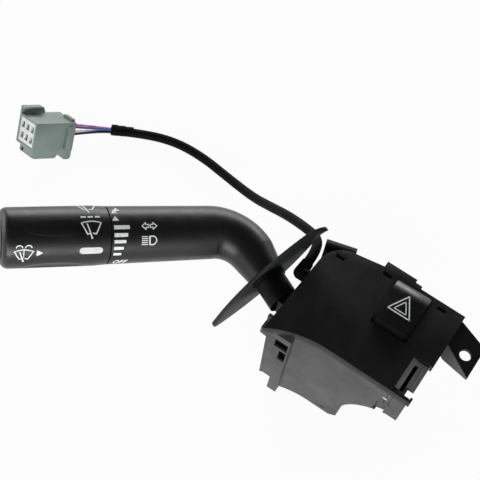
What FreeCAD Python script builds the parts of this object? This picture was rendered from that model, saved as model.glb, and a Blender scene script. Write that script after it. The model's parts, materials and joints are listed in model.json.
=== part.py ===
import FreeCAD, Part
import math
import os
import re
import Sketcher
from FreeCAD import Matrix, Placement, Rotation, Vector

# Combination stalk switch of a light truck's steering column, in millimetres.
# The origin is the centre of the column screw's hole, on the upper face of the right hand ear.
# +Z is the direction that the hazard button faces, +Y runs along the steering column away from
# the driver, and +X points from the stalk's side of the case to the column.

SIZES = {
    # Case
    "case_left": -89.0,
    "case_right": -10.0,
    "case_front": -39.5,
    "case_back": 16.5,
    "plate_top": 3.0,
    "case_bottom": -73.0,
    "left_bottom": -58.0,
    "nose_bottom": -28.3,
    "foot_left": -79.5,
    "wall_lean": 1.8,
    "case_wall": 2.5,
    "cover_wall": 2.5,
    "skirt_depth": 5.5,
    "skirt_wall": 1.2,
    "fit_gap": 0.1,
    "bulge_start": -57.0,
    "bulge_radius": 60.0,
    "back_bend": -57.0,
    "corner_x": -72.0,
    "corner_back": 13.9,
    "corner_radius": 15.5,
    "corner_lean": 2.4,
    "corner_front": -1.0,
    "column_x": -3.8,
    "column_z": -62.2,
    "column_radius": 36.5,
    "block_front": -44.7,
    "block_right": -74.0,
    "block_top": -4.0,
    # Ear and rear lug
    "hole_radius": 3.1,
    "ear_thick": 2.4,
    "ear_reach": 6.6,
    "ear_back": 8.6,
    "ear_front": -10.4,
    "ear_web": 1.8,
    "web_depth": 16.0,
    "lug_x": -68.0,
    "lug_y": 22.5,
    "lug_top": -34.0,
    "lug_radius": 6.5,
    # Lever bearings
    "pivot_x": -76.0,
    "pivot_y": -27.0,
    "pivot_z": -12.0,
    "trunnion_radius": 2.5,
    "run_gap": 0.05,
    "hub_height": 13.0,
    "hub_radius": 5.6,
    "bar_width": 10.0,
    "pin_radius": 2.0,
    "carrier_plate": 2.5,
    "carrier_gap": 0.3,
    "carrier_back": 10.5,
    "cheek_gap": 0.4,
    "cheek_thick": 2.2,
    "trunnion_front": -39.9,
    "cheek_front": 2.5,
    "arm_reach": 26.0,
    "arm_width": 8.0,
    "drive_reach": 18.0,
    "drive_radius": 1.5,
    "plunger_radius": 2.4,
    "plunger_reach": 29.0,
    "cam_gap": 0.3,
    # Neck, stalk and shield
    "neck_x": -91.5,
    "neck_y": -23.6,
    "neck_yaw": 155.3,
    "barrel_radius": 8.2,
    "shield_at": 15.2,
    "shield_thick": 2.0,
    "spigot_radius": 7.4,
    "bend_at": 45.0,
    "bend_radius": 22.0,
    "stalk_yaw": 225.0,
    "stalk_pitch": 12.1,
    "stalk_length": 71.0,
    "tube_wall": 2.2,
    "neck_radius": 9.7,
    "elbow_neck_radius": 12.0,
    "elbow_stalk_radius": 13.9,
    "joint_radius": 14.7,
    "shield_length": 86.0,
    "shield_width": 20.0,
    "shield_tilt": 45.0,
    "shield_curl": 22.0,
    # Knob
    "face_roll": -28.3,
    "knob_gap": 0.3,
    "knob_length": 53.0,
    "knob_radius": 15.1,
    "knob_round": 4.0,
    "knob_bore": 12.6,
    "journal_radius": 10.5,
    "journal_length": 30.0,
    "journal_bore": 8.5,
    "button_radius": 10.6,
    "button_gap": 0.3,
    "scallop_turn": 16.0,
    # Hazard switch
    "hazard_x": -38.0,
    "hazard_y": 0.0,
    "hazard_wide": 19.5,
    "hazard_long": 27.0,
    "hazard_top": 9.0,
    "hazard_foot": -3.0,
    "base_thick": 2.0,
    "base_left": -48.5,
    "carriage_height": 6.0,
    # Board and header
    "board_face": 7.4,
    "board_thick": 1.6,
    "board_left": -74.0,
    "board_right": -51.0,
    "header_x": -63.0,
    "header_z": -58.0,
    "header_wide": 26.0,
    "header_high": 11.4,
    "header_depth": 12.0,
    "header_wall": 1.6,
    "blade_pitch": 3.4,
    "blade_rows": 5.6,
    # Cancel lever
    "cancel_x": -21.6,
    "cancel_z": -13.0,
    "cancel_reach": 19.0,
    "cancel_thick": 3.8,
    # Harness and plug
    "outlet_y": -9.0,
    "outlet_z": -4.0,
    "boot_radius": 3.6,
    "loom_radius": 2.7,
    "wire_radius": 0.75,
    "guide_z": -6.0,
    "guide_length": 16.5,
    "plug_length": 27.0,
    "plug_wall": 1.4,
    "plug_width": 18.9,
    "plug_height": 17.4,
}

doc = FreeCAD.newDocument("stalk_switch")
sheet = doc.addObject("Spreadsheet::Sheet", "Sizes")
for row, (name, value) in enumerate(SIZES.items(), 1):
    sheet.set("A%d" % row, name)
    sheet.set("B%d" % row, str(value))
    sheet.setAlias("B%d" % row, name)
doc.recompute()

nodes = []


# Helpers for sizes

def ex(text):
    """An expression on the sheet's cells, from plain size names."""
    return re.sub(r"[a-z_]+", lambda m: "Sizes." + m.group() if m.group() in SIZES else m.group(), str(text))


def val(text):
    """The number that an expression on the sizes gives."""
    return float(sheet.evalExpression(ex(text)))


def bind(thing, **expressions):
    """Tie an object's properties to the sheet."""
    for name, text in expressions.items():
        thing.setExpression(name.replace("__", "."), ex(text))


def spin(x_axis, y_axis, z_axis, base):
    """The placement whose axes and origin are given as vectors."""
    matrix = Matrix(x_axis.x, y_axis.x, z_axis.x, base.x, x_axis.y, y_axis.y, z_axis.y, base.y,
                    x_axis.z, y_axis.z, z_axis.z, base.z, 0, 0, 0, 1)
    return Placement(matrix)


# Helpers for bodies and features

def new_body(label, node=True):
    """A PartDesign body; a node is written to a file of its own."""
    body = doc.addObject("PartDesign::Body", label)
    body.Label = label
    if node:
        nodes.append(body)
    return body


def origin_plane(body, role):
    for feature in body.Origin.OriginFeatures:
        if feature.Role == role:
            return feature
    raise ValueError("no plane " + role)


def new_sketch(body, name, role, offset="0"):
    """A sketch on one of the body's origin planes, moved along the plane's normal."""
    sketch = body.newObject("Sketcher::SketchObject", body.Name + "_" + name)
    sketch.AttachmentSupport = (origin_plane(body, role), [""])
    sketch.MapMode = "FlatFace"
    bind(sketch, AttachmentOffset__Base__z=offset)
    return sketch


def add_bound(sketch, kind, geometry, point, text, number):
    """A dimension of a sketch, tied to the sheet."""
    if kind == "Radius":
        index = sketch.addConstraint(Sketcher.Constraint(kind, geometry, val(text)))
    else:
        index = sketch.addConstraint(Sketcher.Constraint(kind, -1, 1, geometry, point, val(text)))
    label = "size%d" % number
    sketch.renameConstraint(index, label)
    sketch.setExpression("Constraints." + label, ex(text))


def draw(sketch, points):
    """A closed outline. A point is (x, y), or (x, y, radius, turn) where an arc leads to it."""
    spots = [Vector(val(p[0]), val(p[1]), 0) for p in points]
    ends = []
    for i, point in enumerate(points):
        first, last = spots[i - 1], spots[i]
        if len(point) == 2:
            index = sketch.addGeometry(Part.LineSegment(first, last), False)
            ends.append((index, 1, 2))
            continue
        radius = val(point[2])
        chord = last - first
        side = Vector(-chord.y, chord.x, 0).normalize()
        if point[3] == "cw":
            side = side * -1
        middle = (first + last) * 0.5
        centre = middle + side * math.sqrt(max(radius ** 2 - (chord.Length / 2) ** 2, 0))
        start, stop = (first, last) if point[3] == "ccw" else (last, first)
        angles = [math.atan2(q.y - centre.y, q.x - centre.x) for q in (start, stop)]
        if angles[1] < angles[0]:
            angles[1] += 2 * math.pi
        circle = Part.Circle(centre, Vector(0, 0, 1), radius)
        index = sketch.addGeometry(Part.ArcOfCircle(circle, *angles), False)
        ends.append((index, 1, 2) if point[3] == "ccw" else (index, 2, 1))
    for i, point in enumerate(points):
        index, _, last = ends[i]
        following, first, _ = ends[(i + 1) % len(points)]
        sketch.addConstraint(Sketcher.Constraint("Coincident", index, last, following, first))
        number = len(sketch.Constraints)
        add_bound(sketch, "DistanceX", index, last, point[0], number)
        add_bound(sketch, "DistanceY", index, last, point[1], number + 1)
        if len(point) == 4:
            add_bound(sketch, "Radius", index, 0, point[2], number + 2)


def draw_circle(sketch, x, y, radius):
    spot = Vector(val(x), val(y), 0)
    index = sketch.addGeometry(Part.Circle(spot, Vector(0, 0, 1), val(radius)), False)
    number = len(sketch.Constraints)
    add_bound(sketch, "Radius", index, 0, radius, number)
    add_bound(sketch, "DistanceX", index, 3, x, number + 1)
    add_bound(sketch, "DistanceY", index, 3, y, number + 2)


def block(x0, x1, y0, y1):
    """The four corners of a rectangle."""
    return [(x0, y0), (x1, y0), (x1, y1), (x0, y1)]


def extrude(body, kind, sketch, length, reverse):
    feature = body.newObject("PartDesign::" + kind, sketch.Name + "_" + kind.lower())
    feature.Profile = sketch
    feature.Reversed = reverse
    if length == "all":
        feature.Type = "ThroughAll"
    else:
        bind(feature, Length=length)
    sketch.Visibility = False
    return feature


def pad(body, name, role, points, offset, length, reverse=False):
    """Material along the plane's normal: +Z on XY, -Y on XZ, +X on YZ."""
    sketch = new_sketch(body, name, role, offset)
    draw(sketch, points)
    return extrude(body, "Pad", sketch, length, reverse)


def cut(body, name, role, points, offset, length, reverse=False):
    """A pocket against the plane's normal: -Z on XY, +Y on XZ, -X on YZ."""
    sketch = new_sketch(body, name, role, offset)
    draw(sketch, points)
    return extrude(body, "Pocket", sketch, length, reverse)


def rod(body, name, role, x, y, radius, offset, length, reverse=False):
    sketch = new_sketch(body, name, role, offset)
    draw_circle(sketch, x, y, radius)
    return extrude(body, "Pad", sketch, length, reverse)


def bore(body, name, role, x, y, radius, offset, length, reverse=False):
    sketch = new_sketch(body, name, role, offset)
    draw_circle(sketch, x, y, radius)
    return extrude(body, "Pocket", sketch, length, reverse)


def turn(body, name, points):
    """A profile in the XZ plane, turned once about Z."""
    sketch = new_sketch(body, name, "XZ_Plane")
    draw(sketch, points)
    feature = body.newObject("PartDesign::Revolution", sketch.Name + "_turn")
    feature.Profile = sketch
    feature.ReferenceAxis = (sketch, ["V_Axis"])
    feature.Angle = 360
    return feature


def coil(label, radius, wire, height, turns, placement):
    """A compression spring along its own Z."""
    helix = doc.addObject("Part::Helix", label + "_path")
    bind(helix, Radius=radius, Height=height, Pitch="(%s) / %s" % (height, turns))
    ring = doc.addObject("Part::Circle", label + "_wire")
    bind(ring, Radius=wire)
    ring.Placement = Placement(Vector(val(radius), 0, 0), Rotation(Vector(1, 0, 0), 90))
    sweep = doc.addObject("Part::Sweep", label)
    sweep.Label = label
    sweep.Sections = [ring]
    sweep.Spine = (helix, [])
    sweep.Solid = True
    sweep.Frenet = True
    sweep.Placement = placement
    nodes.append(sweep)
    return sweep


# Case: the outline in plan, and the deep form that the housing and its hollow share

RIM = "plate_top - cover_wall"
CASE_INSET = "skirt_wall + fit_gap"
HOLLOW_INSET = "skirt_wall + fit_gap + case_wall"


def plan(inset):
    """The case seen from above, moved in by inset; it bulges forward where the stalk enters."""
    left_front = ("case_front - bulge_radius + sqrt((bulge_radius + {0})^2"
                  " - (case_left + {0} - bulge_start)^2)").format("(%s)" % inset)
    return [
        ("case_right - (%s)" % inset, "case_front + (%s)" % inset),
        ("case_right - (%s)" % inset, "case_back - (%s)" % inset),
        ("back_bend", "case_back - (%s)" % inset),
        ("corner_x", "corner_back - (%s)" % inset),
        ("case_left + corner_lean + (%s)" % inset, "corner_front", "corner_radius", "ccw"),
        ("case_left + (%s)" % inset, left_front),
        ("bulge_start", "case_front + (%s)" % inset, "bulge_radius + (%s)" % inset, "cw"),
    ]


def deep_form(body, inset, wall, height):
    """The case's depth: a quarter round is left for the column, and the left side is shallower."""
    pad(body, "plan", "XY_Plane", plan(inset), "case_bottom + (%s)" % wall, height)
    reach = "sqrt((column_radius + {0})^2 - ({1} - column_z)^2)"
    low = "case_bottom + (%s)" % wall
    nose = "nose_bottom + (%s)" % wall
    low_x = "column_x - " + reach.format(wall, "(%s)" % low)
    nose_x = "column_x - " + reach.format(wall, "(%s)" % nose)
    beyond = "case_right + 8"
    under = "case_bottom - 1"
    column = [(low_x, under), (low_x, low), (nose_x, nose, "column_radius + (%s)" % wall, "cw"),
              (beyond, nose), (beyond, under)]
    cut(body, "column", "XZ_Plane", column, "60 - case_front", "all")
    left = [("case_left - 6", under), ("foot_left + (%s)" % wall, under),
            ("foot_left + (%s)" % wall, "left_bottom + (%s)" % wall),
            ("case_left + (%s) + wall_lean" % inset, "left_bottom + (%s)" % wall),
            ("case_left + (%s)" % inset, RIM), ("case_left - 6", RIM)]
    cut(body, "left", "XZ_Plane", left, "60 - case_front", "all")


# Upper case: the black cover with the button's opening and the cut-out near the column

def make_upper_case():
    body = new_body("upper_case")
    pad(body, "plan", "XY_Plane", plan("0"), "plate_top - skirt_depth", "skirt_depth")
    cut(body, "inside", "XY_Plane", plan("skirt_wall"), RIM, "skirt_depth")
    opening = block("hazard_x - hazard_wide / 2 - button_gap", "hazard_x + hazard_wide / 2 + button_gap",
                    "hazard_y - hazard_long / 2 - button_gap", "hazard_y + hazard_long / 2 + button_gap")
    cut(body, "button_opening", "XY_Plane", opening, "plate_top", "skirt_depth")
    recess = block("case_right - 11", "case_right + 1", "case_front + skirt_wall", "case_front + 22.5")
    cut(body, "recess", "XY_Plane", recess, "plate_top", "skirt_depth")
    hook = block("case_right - skirt_wall", "case_right", "case_front + 0.5", "case_front + 2.8")
    pad(body, "hook", "XY_Plane", hook, RIM, "cover_wall")
    notch = block("outlet_y - 27", "outlet_y + boot_radius + 0.3", "plate_top - skirt_depth - 1", RIM)
    cut(body, "notch", "YZ_Plane", notch, "case_left + 6", "12")
    ear_room = block("-3.5", "case_back - 1", "plate_top - skirt_depth - 1", "0.2")
    cut(body, "ear_room", "YZ_Plane", ear_room, "case_right + 1", "4")
    for i, (x, y) in enumerate((("-78.5", "7.2"), ("-53.8", "13"), ("-21.8", "12.6"))):
        slot = block("%s - 2.5" % x, "%s + 2.5" % x, "%s - 1" % y, "%s + 1" % y)
        cut(body, "slot%d" % i, "XY_Plane", slot, "plate_top", "1.4")
    strip = block("-57.5", "-40", "case_back - 1", "case_back + 3.4")
    pad(body, "strip", "XY_Plane", strip, "plate_top - 3.4", "3.4")
    step = block("-40.5", "-36", "case_back - 1", "case_back + 1.8")
    pad(body, "strip_step", "XY_Plane", step, "plate_top - 3.4", "3")
    doc.recompute()
    return body


# Lower case: the deep housing

def make_lower_case():
    hollow = new_body("case_hollow", node=False)
    deep_form(hollow, HOLLOW_INSET, "case_wall", "plate_top - case_bottom")
    body = new_body("lower_case")
    deep_form(body, CASE_INSET, "0", RIM + " - case_bottom")
    front = [("block_right", "case_bottom"), ("block_right", "block_top"),
             ("case_left + (%s)" % CASE_INSET, "block_top"),
             ("case_left + (%s) + wall_lean" % CASE_INSET, "left_bottom"),
             ("foot_left", "left_bottom"), ("foot_left", "case_bottom")]
    pad(body, "block", "XZ_Plane", front, "-case_front", "case_front - block_front")
    cut_out = body.newObject("PartDesign::Boolean", "hollow_out")
    cut_out.Type = "Cut"
    cut_out.Group = [hollow]
    make_bearings(body)
    make_mouth(body)
    make_nose(body)
    make_header(body)
    make_details(body)
    doc.recompute()
    return body


def beside_case(name, form, case):
    """Stand a form against the case's outside, with nothing of it inside the wall."""
    feature = doc.addObject("Part::Cut", name)
    feature.Base = form
    feature.Tool = case
    nodes.append(feature)
    return feature


def make_ear(case):
    """The ear for the column screw, with two webs under it."""
    body = new_body("ear_form", node=False)
    root = "case_right - (%s) - 1" % CASE_INSET
    ear = [(root, "case_back - 1.5"), ("case_right", "case_back - 1.5"), ("ear_reach", "ear_back"),
           ("ear_reach", "ear_front"), ("case_right + 2.4", "-1.6"), (root, "1.6")]
    pad(body, "ear", "XY_Plane", ear, "-ear_thick", "ear_thick")
    webs = [[("case_right + 2.4", "-1.6"), ("ear_reach", "ear_front"), ("ear_reach", "ear_front + 2.1"),
             ("case_right + 2.4", "-1.6 + 2.1"), (root, "3.6"), (root, "1.5")],
            [(root, "case_back - 1.5"), (root, "case_back - 1.5 - ear_web"),
             ("case_right", "case_back - 1.5 - ear_web"), ("ear_reach", "ear_back - 2.1"),
             ("ear_reach", "ear_back"), ("case_right", "case_back - 1.5")]]
    for i, web in enumerate(webs):
        pad(body, "web%d" % i, "XY_Plane", web, "-web_depth", "web_depth - 0.5")
    slope = [("case_right", "-web_depth - 1.5"), ("ear_reach + 2", "-web_depth - 1.5"),
             ("ear_reach + 2", "-ear_thick"), ("ear_reach", "-ear_thick")]
    cut(body, "web_slope", "XZ_Plane", slope, "30", "60")
    bore(body, "screw_hole", "XY_Plane", "0", "0", "hole_radius", "1", "ear_thick + 2")
    return beside_case("column_ear", body, case)


def make_lug(case):
    """The second fixing: a lug on the back of the case, with a fin on each side."""
    body = new_body("lug_form", node=False)
    inner = "case_back - (%s) - 1" % CASE_INSET
    lug = [("lug_x - lug_radius", inner), ("lug_x + lug_radius", inner), ("lug_x + lug_radius", "lug_y"),
           ("lug_x", "lug_y + lug_radius", "lug_radius", "ccw"),
           ("lug_x - lug_radius", "lug_y", "lug_radius", "ccw")]
    pad(body, "lug", "XY_Plane", lug, "lug_top - ear_thick", "ear_thick")
    bore(body, "lug_hole", "XY_Plane", "lug_x", "lug_y", "hole_radius", "lug_top + 1", "ear_thick + 2")
    for i, side in enumerate(("-lug_radius", "lug_radius - ear_web")):
        fin = [(inner, "lug_top"), ("lug_y", "lug_top - ear_thick"), ("lug_y", "lug_top - ear_thick - 1"),
               (inner, "lug_top - 12")]
        pad(body, "lug_fin%d" % i, "YZ_Plane", fin, "lug_x + " + side, "ear_web")
    return beside_case("rear_lug", body, case)


def make_bearings(body):
    """The rib that carries the carrier's rear trunnion, and the ledge wall under the switch base."""
    rib = block("pivot_x - 3.4", "pivot_x + 10", "case_bottom + 1", "pivot_z + 5.5")
    pad(body, "rib", "XZ_Plane", rib, "12.9", "3")
    for name, offset in (("rib_bore", "20"), ("wall_bore", "0.1 - trunnion_front")):
        bore(body, name, "XZ_Plane", "pivot_x", "pivot_z", "trunnion_radius + run_gap", offset, "12")
    ledge = block("base_left - 1", "base_left + 1.5", "case_front + 2", "case_back - 2")
    pad(body, "ledge", "XY_Plane", ledge, "case_bottom + 1", "nose_bottom + case_wall - case_bottom - 1")


def make_mouth(body):
    """The open mouth that the stalk's barrel comes out of, with its collar and the lead's hole."""
    collar = block("-39.4", "-13.8", "pivot_z - 14.6", "plate_top - skirt_depth - 0.2")
    pad(body, "collar", "YZ_Plane", collar, "case_left - 2.6", "6")
    mouth = block("-37.6", "outlet_y - boot_radius - 1.5", "pivot_z - 12.4", RIM + " + 1")
    cut(body, "mouth", "YZ_Plane", mouth, "case_left + 8", "14")
    lip = block("-37.6", "-12", "pivot_z - 12.4", RIM + " + 1")
    cut(body, "collar_gap", "YZ_Plane", lip, "case_left + (%s) - 0.1" % CASE_INSET, "6")
    bore(body, "lead_hole", "YZ_Plane", "outlet_y", "outlet_z", "boot_radius + run_gap", "case_left + 8", "12")
    tab = block("case_left - 2.4", "case_left + 3", "block_front - 0.6", "block_front + 4")
    pad(body, "tab", "XY_Plane", tab, "block_top - 8", "6.4")


def make_nose(body):
    """The end over the column: an open channel, a thin panel with a rail, and the cancel window."""
    room = block("hazard_x - hazard_wide / 2 - button_gap", "hazard_x + hazard_wide / 2 + button_gap",
                 "hazard_y + hazard_long / 2 - 4", "hazard_y + hazard_long / 2 + button_gap")
    cut(body, "button_room", "XY_Plane", room, "plate_top", "plate_top - hazard_foot + 3.5")
    wall = "skirt_wall + fit_gap"
    end = block("case_right - 6.2", "case_right - 2", "case_front + 1.5", "case_front + 22")
    pad(body, "end_wall", "XY_Plane", end, "nose_bottom", RIM + " - nose_bottom")
    channel = block("case_right - 4.4", "case_right + 1", "case_front + 2.8", "case_front + 19.5")
    cut(body, "channel", "XY_Plane", channel, "plate_top", "plate_top - nose_bottom + 1")
    panel = block("case_right - 5.9", "case_right - (%s)" % wall, "case_front + 6.8", "case_front + 22")
    pad(body, "panel", "XY_Plane", panel, "-1", "2.5")
    rail = block("case_right - 10.6", "case_right - 8", "case_front + 3", "case_front + 22")
    pad(body, "rail", "XY_Plane", rail, "0", "2.4")
    bridge = block("case_right - 10", "case_right - 5.5", "case_front + 19.5", "case_front + 22")
    pad(body, "bridge", "XY_Plane", bridge, "-1", "2.5")
    lip = block("case_right - 3.6", "case_right - 2.8", "case_front + 7.4", "case_front + 21.4")
    pad(body, "lip", "XY_Plane", lip, "1", "1.3")
    window = block("cancel_x - 3", "cancel_x + 2.4", "nose_bottom - 3", "cancel_z - 6")
    cut(body, "cancel_window", "XZ_Plane", window, "2 - case_front", "5")
    slot = block("cancel_x - 4.8", "cancel_x + 4.8", "case_front + 3.4", "case_front + 8.8")
    cut(body, "cancel_slot", "XY_Plane", slot, "nose_bottom + case_wall + 1", "9")
    bore(body, "pin_hole", "XZ_Plane", "cancel_x", "cancel_z", "1.5", "1 - case_front", "8")
    for i, x in enumerate(("-21.2", "-18.6")):
        groove = block("%s - 0.25" % x, "%s + 0.25" % x, "-18", "0")
        cut(body, "groove%d" % i, "XZ_Plane", groove, "-case_front", "2")


def make_header(body):
    """The socket for the main connector, in the back wall."""
    x0, x1 = "header_x - header_wide / 2", "header_x + header_wide / 2"
    z0, z1 = "header_z - header_high / 2", "header_z + header_high / 2"
    back = "case_back - (%s)" % CASE_INSET
    shroud = block(x0 + " - header_wall", x1 + " + header_wall", z0 + " - header_wall", z1 + " + header_wall")
    pad(body, "shroud", "XZ_Plane", shroud, "-(%s) - header_depth" % back, "header_depth + 1")
    inside = block(x0, x1, z0, z1)
    cut(body, "socket", "XZ_Plane", inside, "-(%s)" % back, "header_depth + 1")
    key = block("header_x - 2", "header_x + 2", z1 + " - 1", z1 + " + 3")
    cut(body, "key", "XZ_Plane", key, "-(%s) - 2" % back, "header_depth")
    for i in range(6):
        for j in range(2):
            x = "header_x + blade_pitch * %s" % (i - 2.5)
            z = "header_z + blade_rows * %s" % (j - 0.5)
            hole = block("%s - 0.8" % x, "%s + 0.8" % x, "%s - 0.4" % z, "%s + 0.4" % z)
            cut(body, "blade_hole%d%d" % (i, j), "XZ_Plane", hole, "-board_face - board_thick", "10")
    for i, x in enumerate(("board_left + 2.8", "board_right - 2.8")):
        sketch_place = "-board_face - board_thick"
        rod(body, "boss%d" % i, "XZ_Plane", x, "-35", "2.6", "-(%s) + 1" % back, "%s" % (
            "(%s) - 1 - board_face - board_thick" % back))
        bore(body, "boss_bore%d" % i, "XZ_Plane", x, "-35", "1.25", sketch_place, "4.2")


def make_details(body):
    """Latch windows and a foot notch on the side that faces the driver."""
    for i, (x0, x1, z0, z1) in enumerate((("-82.6", "-75", "-18", "-9.6"), ("-79", "-75", "-31", "-20"))):
        cut(body, "latch_window%d" % i, "XZ_Plane", block(x0, x1, z0, z1), "-block_front", "2.6")
    cut(body, "latch_room", "XZ_Plane", block("-79", "-75.2", "-21", "-17"), "-block_front - 1.4", "1.2")
    notch = block("-49.6", "-46.8", "case_bottom + 3.4", "case_bottom + 4.6")
    cut(body, "notch", "XZ_Plane", notch, "-case_front", "2")
    corner = [("-43.8", "case_bottom - 1"), ("-43.8", "case_bottom"), ("-38", "case_bottom + 5"),
              ("-36", "case_bottom - 1")]
    cut(body, "corner", "XZ_Plane", corner, "60", "all")


make_upper_case()
lower_case = make_lower_case()
make_ear(lower_case)
make_lug(lower_case)


# Pieces in the case

def make_side_latch():
    """The black spring latch seen through the two windows of the block."""
    body = new_body("side_latch")
    pad(body, "upper", "XZ_Plane", block("-82.2", "-75.4", "-17.6", "-10"), "-block_front - 2.3", "1.4")
    pad(body, "lower", "XZ_Plane", block("-78.6", "-75.4", "-30.6", "-20.4"), "-block_front - 2.3", "1.4")
    pad(body, "strap", "XZ_Plane", block("-78.4", "-75.8", "-21", "-17"), "-block_front - 2.3", "0.1")
    return body


def make_harness_guide():
    """The half round hood that lies against the back left corner and covers the lead's bend."""
    body = new_body("guide_form", node=False)
    arch = [("5.4", "0"), ("0", "5.4", "5.4", "ccw"), ("-5.4", "0", "5.4", "ccw"), ("-5.4", "-2"),
            ("-3.9", "-2"), ("-3.9", "0"), ("0", "3.9", "3.9", "cw"), ("3.9", "0", "3.9", "cw"),
            ("3.9", "-2"), ("5.4", "-2")]
    pad(body, "arch", "YZ_Plane", arch, "0", "guide_length")
    end = [("5.4", "0"), ("0", "5.4", "5.4", "ccw"), ("-5.4", "0", "5.4", "ccw"), ("-5.4", "-2"), ("5.4", "-2")]
    pad(body, "end", "YZ_Plane", end, "guide_length - 1.6", "1.6")
    start = Vector(val("case_left") - 0.3, val("corner_back") - 2.9, val("guide_z"))
    body.Placement = Placement(start, Rotation(Vector(0, 0, 1), 16.0))
    case = new_body("guide_room", node=False)
    pad(case, "plan", "XY_Plane", plan("-fit_gap"), "guide_z - 10", "20")
    guide = doc.addObject("Part::Cut", "harness_guide")
    guide.Base = body
    guide.Tool = case
    nodes.append(guide)


def make_switch_base():
    """The plate that the hazard switch and the detent cam stand on, with guides and spring post."""
    body = new_body("switch_base")
    top = "nose_bottom + case_wall"
    inner = HOLLOW_INSET
    plate = block("base_left", "case_right - 8", "case_front + (%s) + 0.2" % inner, "case_back - (%s) - 0.2" % inner)
    pad(body, "plate", "XY_Plane", plate, top, "base_thick")
    for i, (y0, y1) in enumerate((("9.3", "11.3"), ("-11.3", "-9.3"))):
        guide = block("hazard_x - 6", "hazard_x + 6", "hazard_y + " + y0, "hazard_y + " + y1)
        pad(body, "guide%d" % i, "XY_Plane", guide, top + " + base_thick - 0.5", "18")
    rod(body, "post", "XY_Plane", "hazard_x", "hazard_y", "2.6", top + " + base_thick - 0.5", "7")
    slot = block("cancel_x - 5.2", "cancel_x + 6", "case_front", "case_front + 12")
    cut(body, "cancel_room", "XY_Plane", slot, top + " + base_thick + 1", "base_thick + 3")
    return body


def make_detent_cam():
    """The toothed block that the plunger rides on; its hollow face is centred on the pivot."""
    body = new_body("detent_cam")
    low = "nose_bottom + case_wall + base_thick"
    reach = "sqrt((plunger_reach + cam_gap)^2 - ({0} - pivot_z)^2)"
    high = "-1"
    profile = [("pivot_x + 35", low), ("pivot_x + 35", high),
               ("pivot_x + " + reach.format(high), high),
               ("pivot_x + " + reach.format("(%s)" % low), low, "plunger_reach + cam_gap", "cw")]
    pad(body, "face", "XZ_Plane", profile, "-pivot_y - arm_width / 2", "arm_width")
    for i, angle in enumerate((-12, 0, 12)):
        x = "pivot_x + (plunger_reach - 1.8) * cos(%d)" % angle
        z = "pivot_z + (plunger_reach - 1.8) * sin(%d)" % angle
        bore(body, "notch%d" % i, "XZ_Plane", x, z, "2.9", "60", "all")
    return body


def make_board():
    body = new_body("circuit_board")
    board = block("board_left", "board_right", "case_bottom + 6", "-4.5")
    pad(body, "board", "XZ_Plane", board, "-board_face - board_thick", "board_thick")
    for i, x in enumerate(("board_left + 2.8", "board_right - 2.8")):
        bore(body, "hole%d" % i, "XZ_Plane", x, "-35", "1.4", "-board_face + 1", "4")
    return body


def make_board_screws():
    body = new_body("board_screws_form", node=False)
    turn(body, "screw", [("0", "-5.4"), ("1.2", "-5.4"), ("1.2", "0"), ("2.4", "0"), ("2.4", "1.2"),
                         ("1.6", "1.8"), ("0", "1.8")])
    doc.recompute()
    places = [Vector(val("board_left + 2.8"), val("board_face"), -35),
              Vector(val("board_right - 2.8"), val("board_face"), -35)]
    group = []
    for place in places:
        screw = body.Shape.copy()
        screw.Placement = Placement(place, Rotation(Vector(1, 0, 0), 90))
        group.append(screw)
    feature = doc.addObject("Part::Feature", "board_screws")
    feature.Shape = Part.makeCompound(group)
    nodes.append(feature)


def make_header_terminals():
    blades = []
    start = val("board_face + board_thick")
    length = val("case_back - (%s) + header_depth - 2.5" % CASE_INSET) - start
    for i in range(6):
        for j in range(2):
            x = val("header_x + blade_pitch * %s" % (i - 2.5))
            z = val("header_z + blade_rows * %s" % (j - 0.5))
            blades.append(Part.makeBox(1.5, length, 0.7, Vector(x - 0.75, start, z - 0.35)))
    feature = doc.addObject("Part::Feature", "header_terminals")
    feature.Shape = Part.makeCompound(blades)
    nodes.append(feature)


make_side_latch()
make_harness_guide()
make_switch_base()
make_detent_cam()
make_board()
make_board_screws()
make_header_terminals()


# Turn signal carrier and what rides on it

HALF_HUB = "hub_height / 2"
CHEEK = "hub_radius + cheek_gap"


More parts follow.
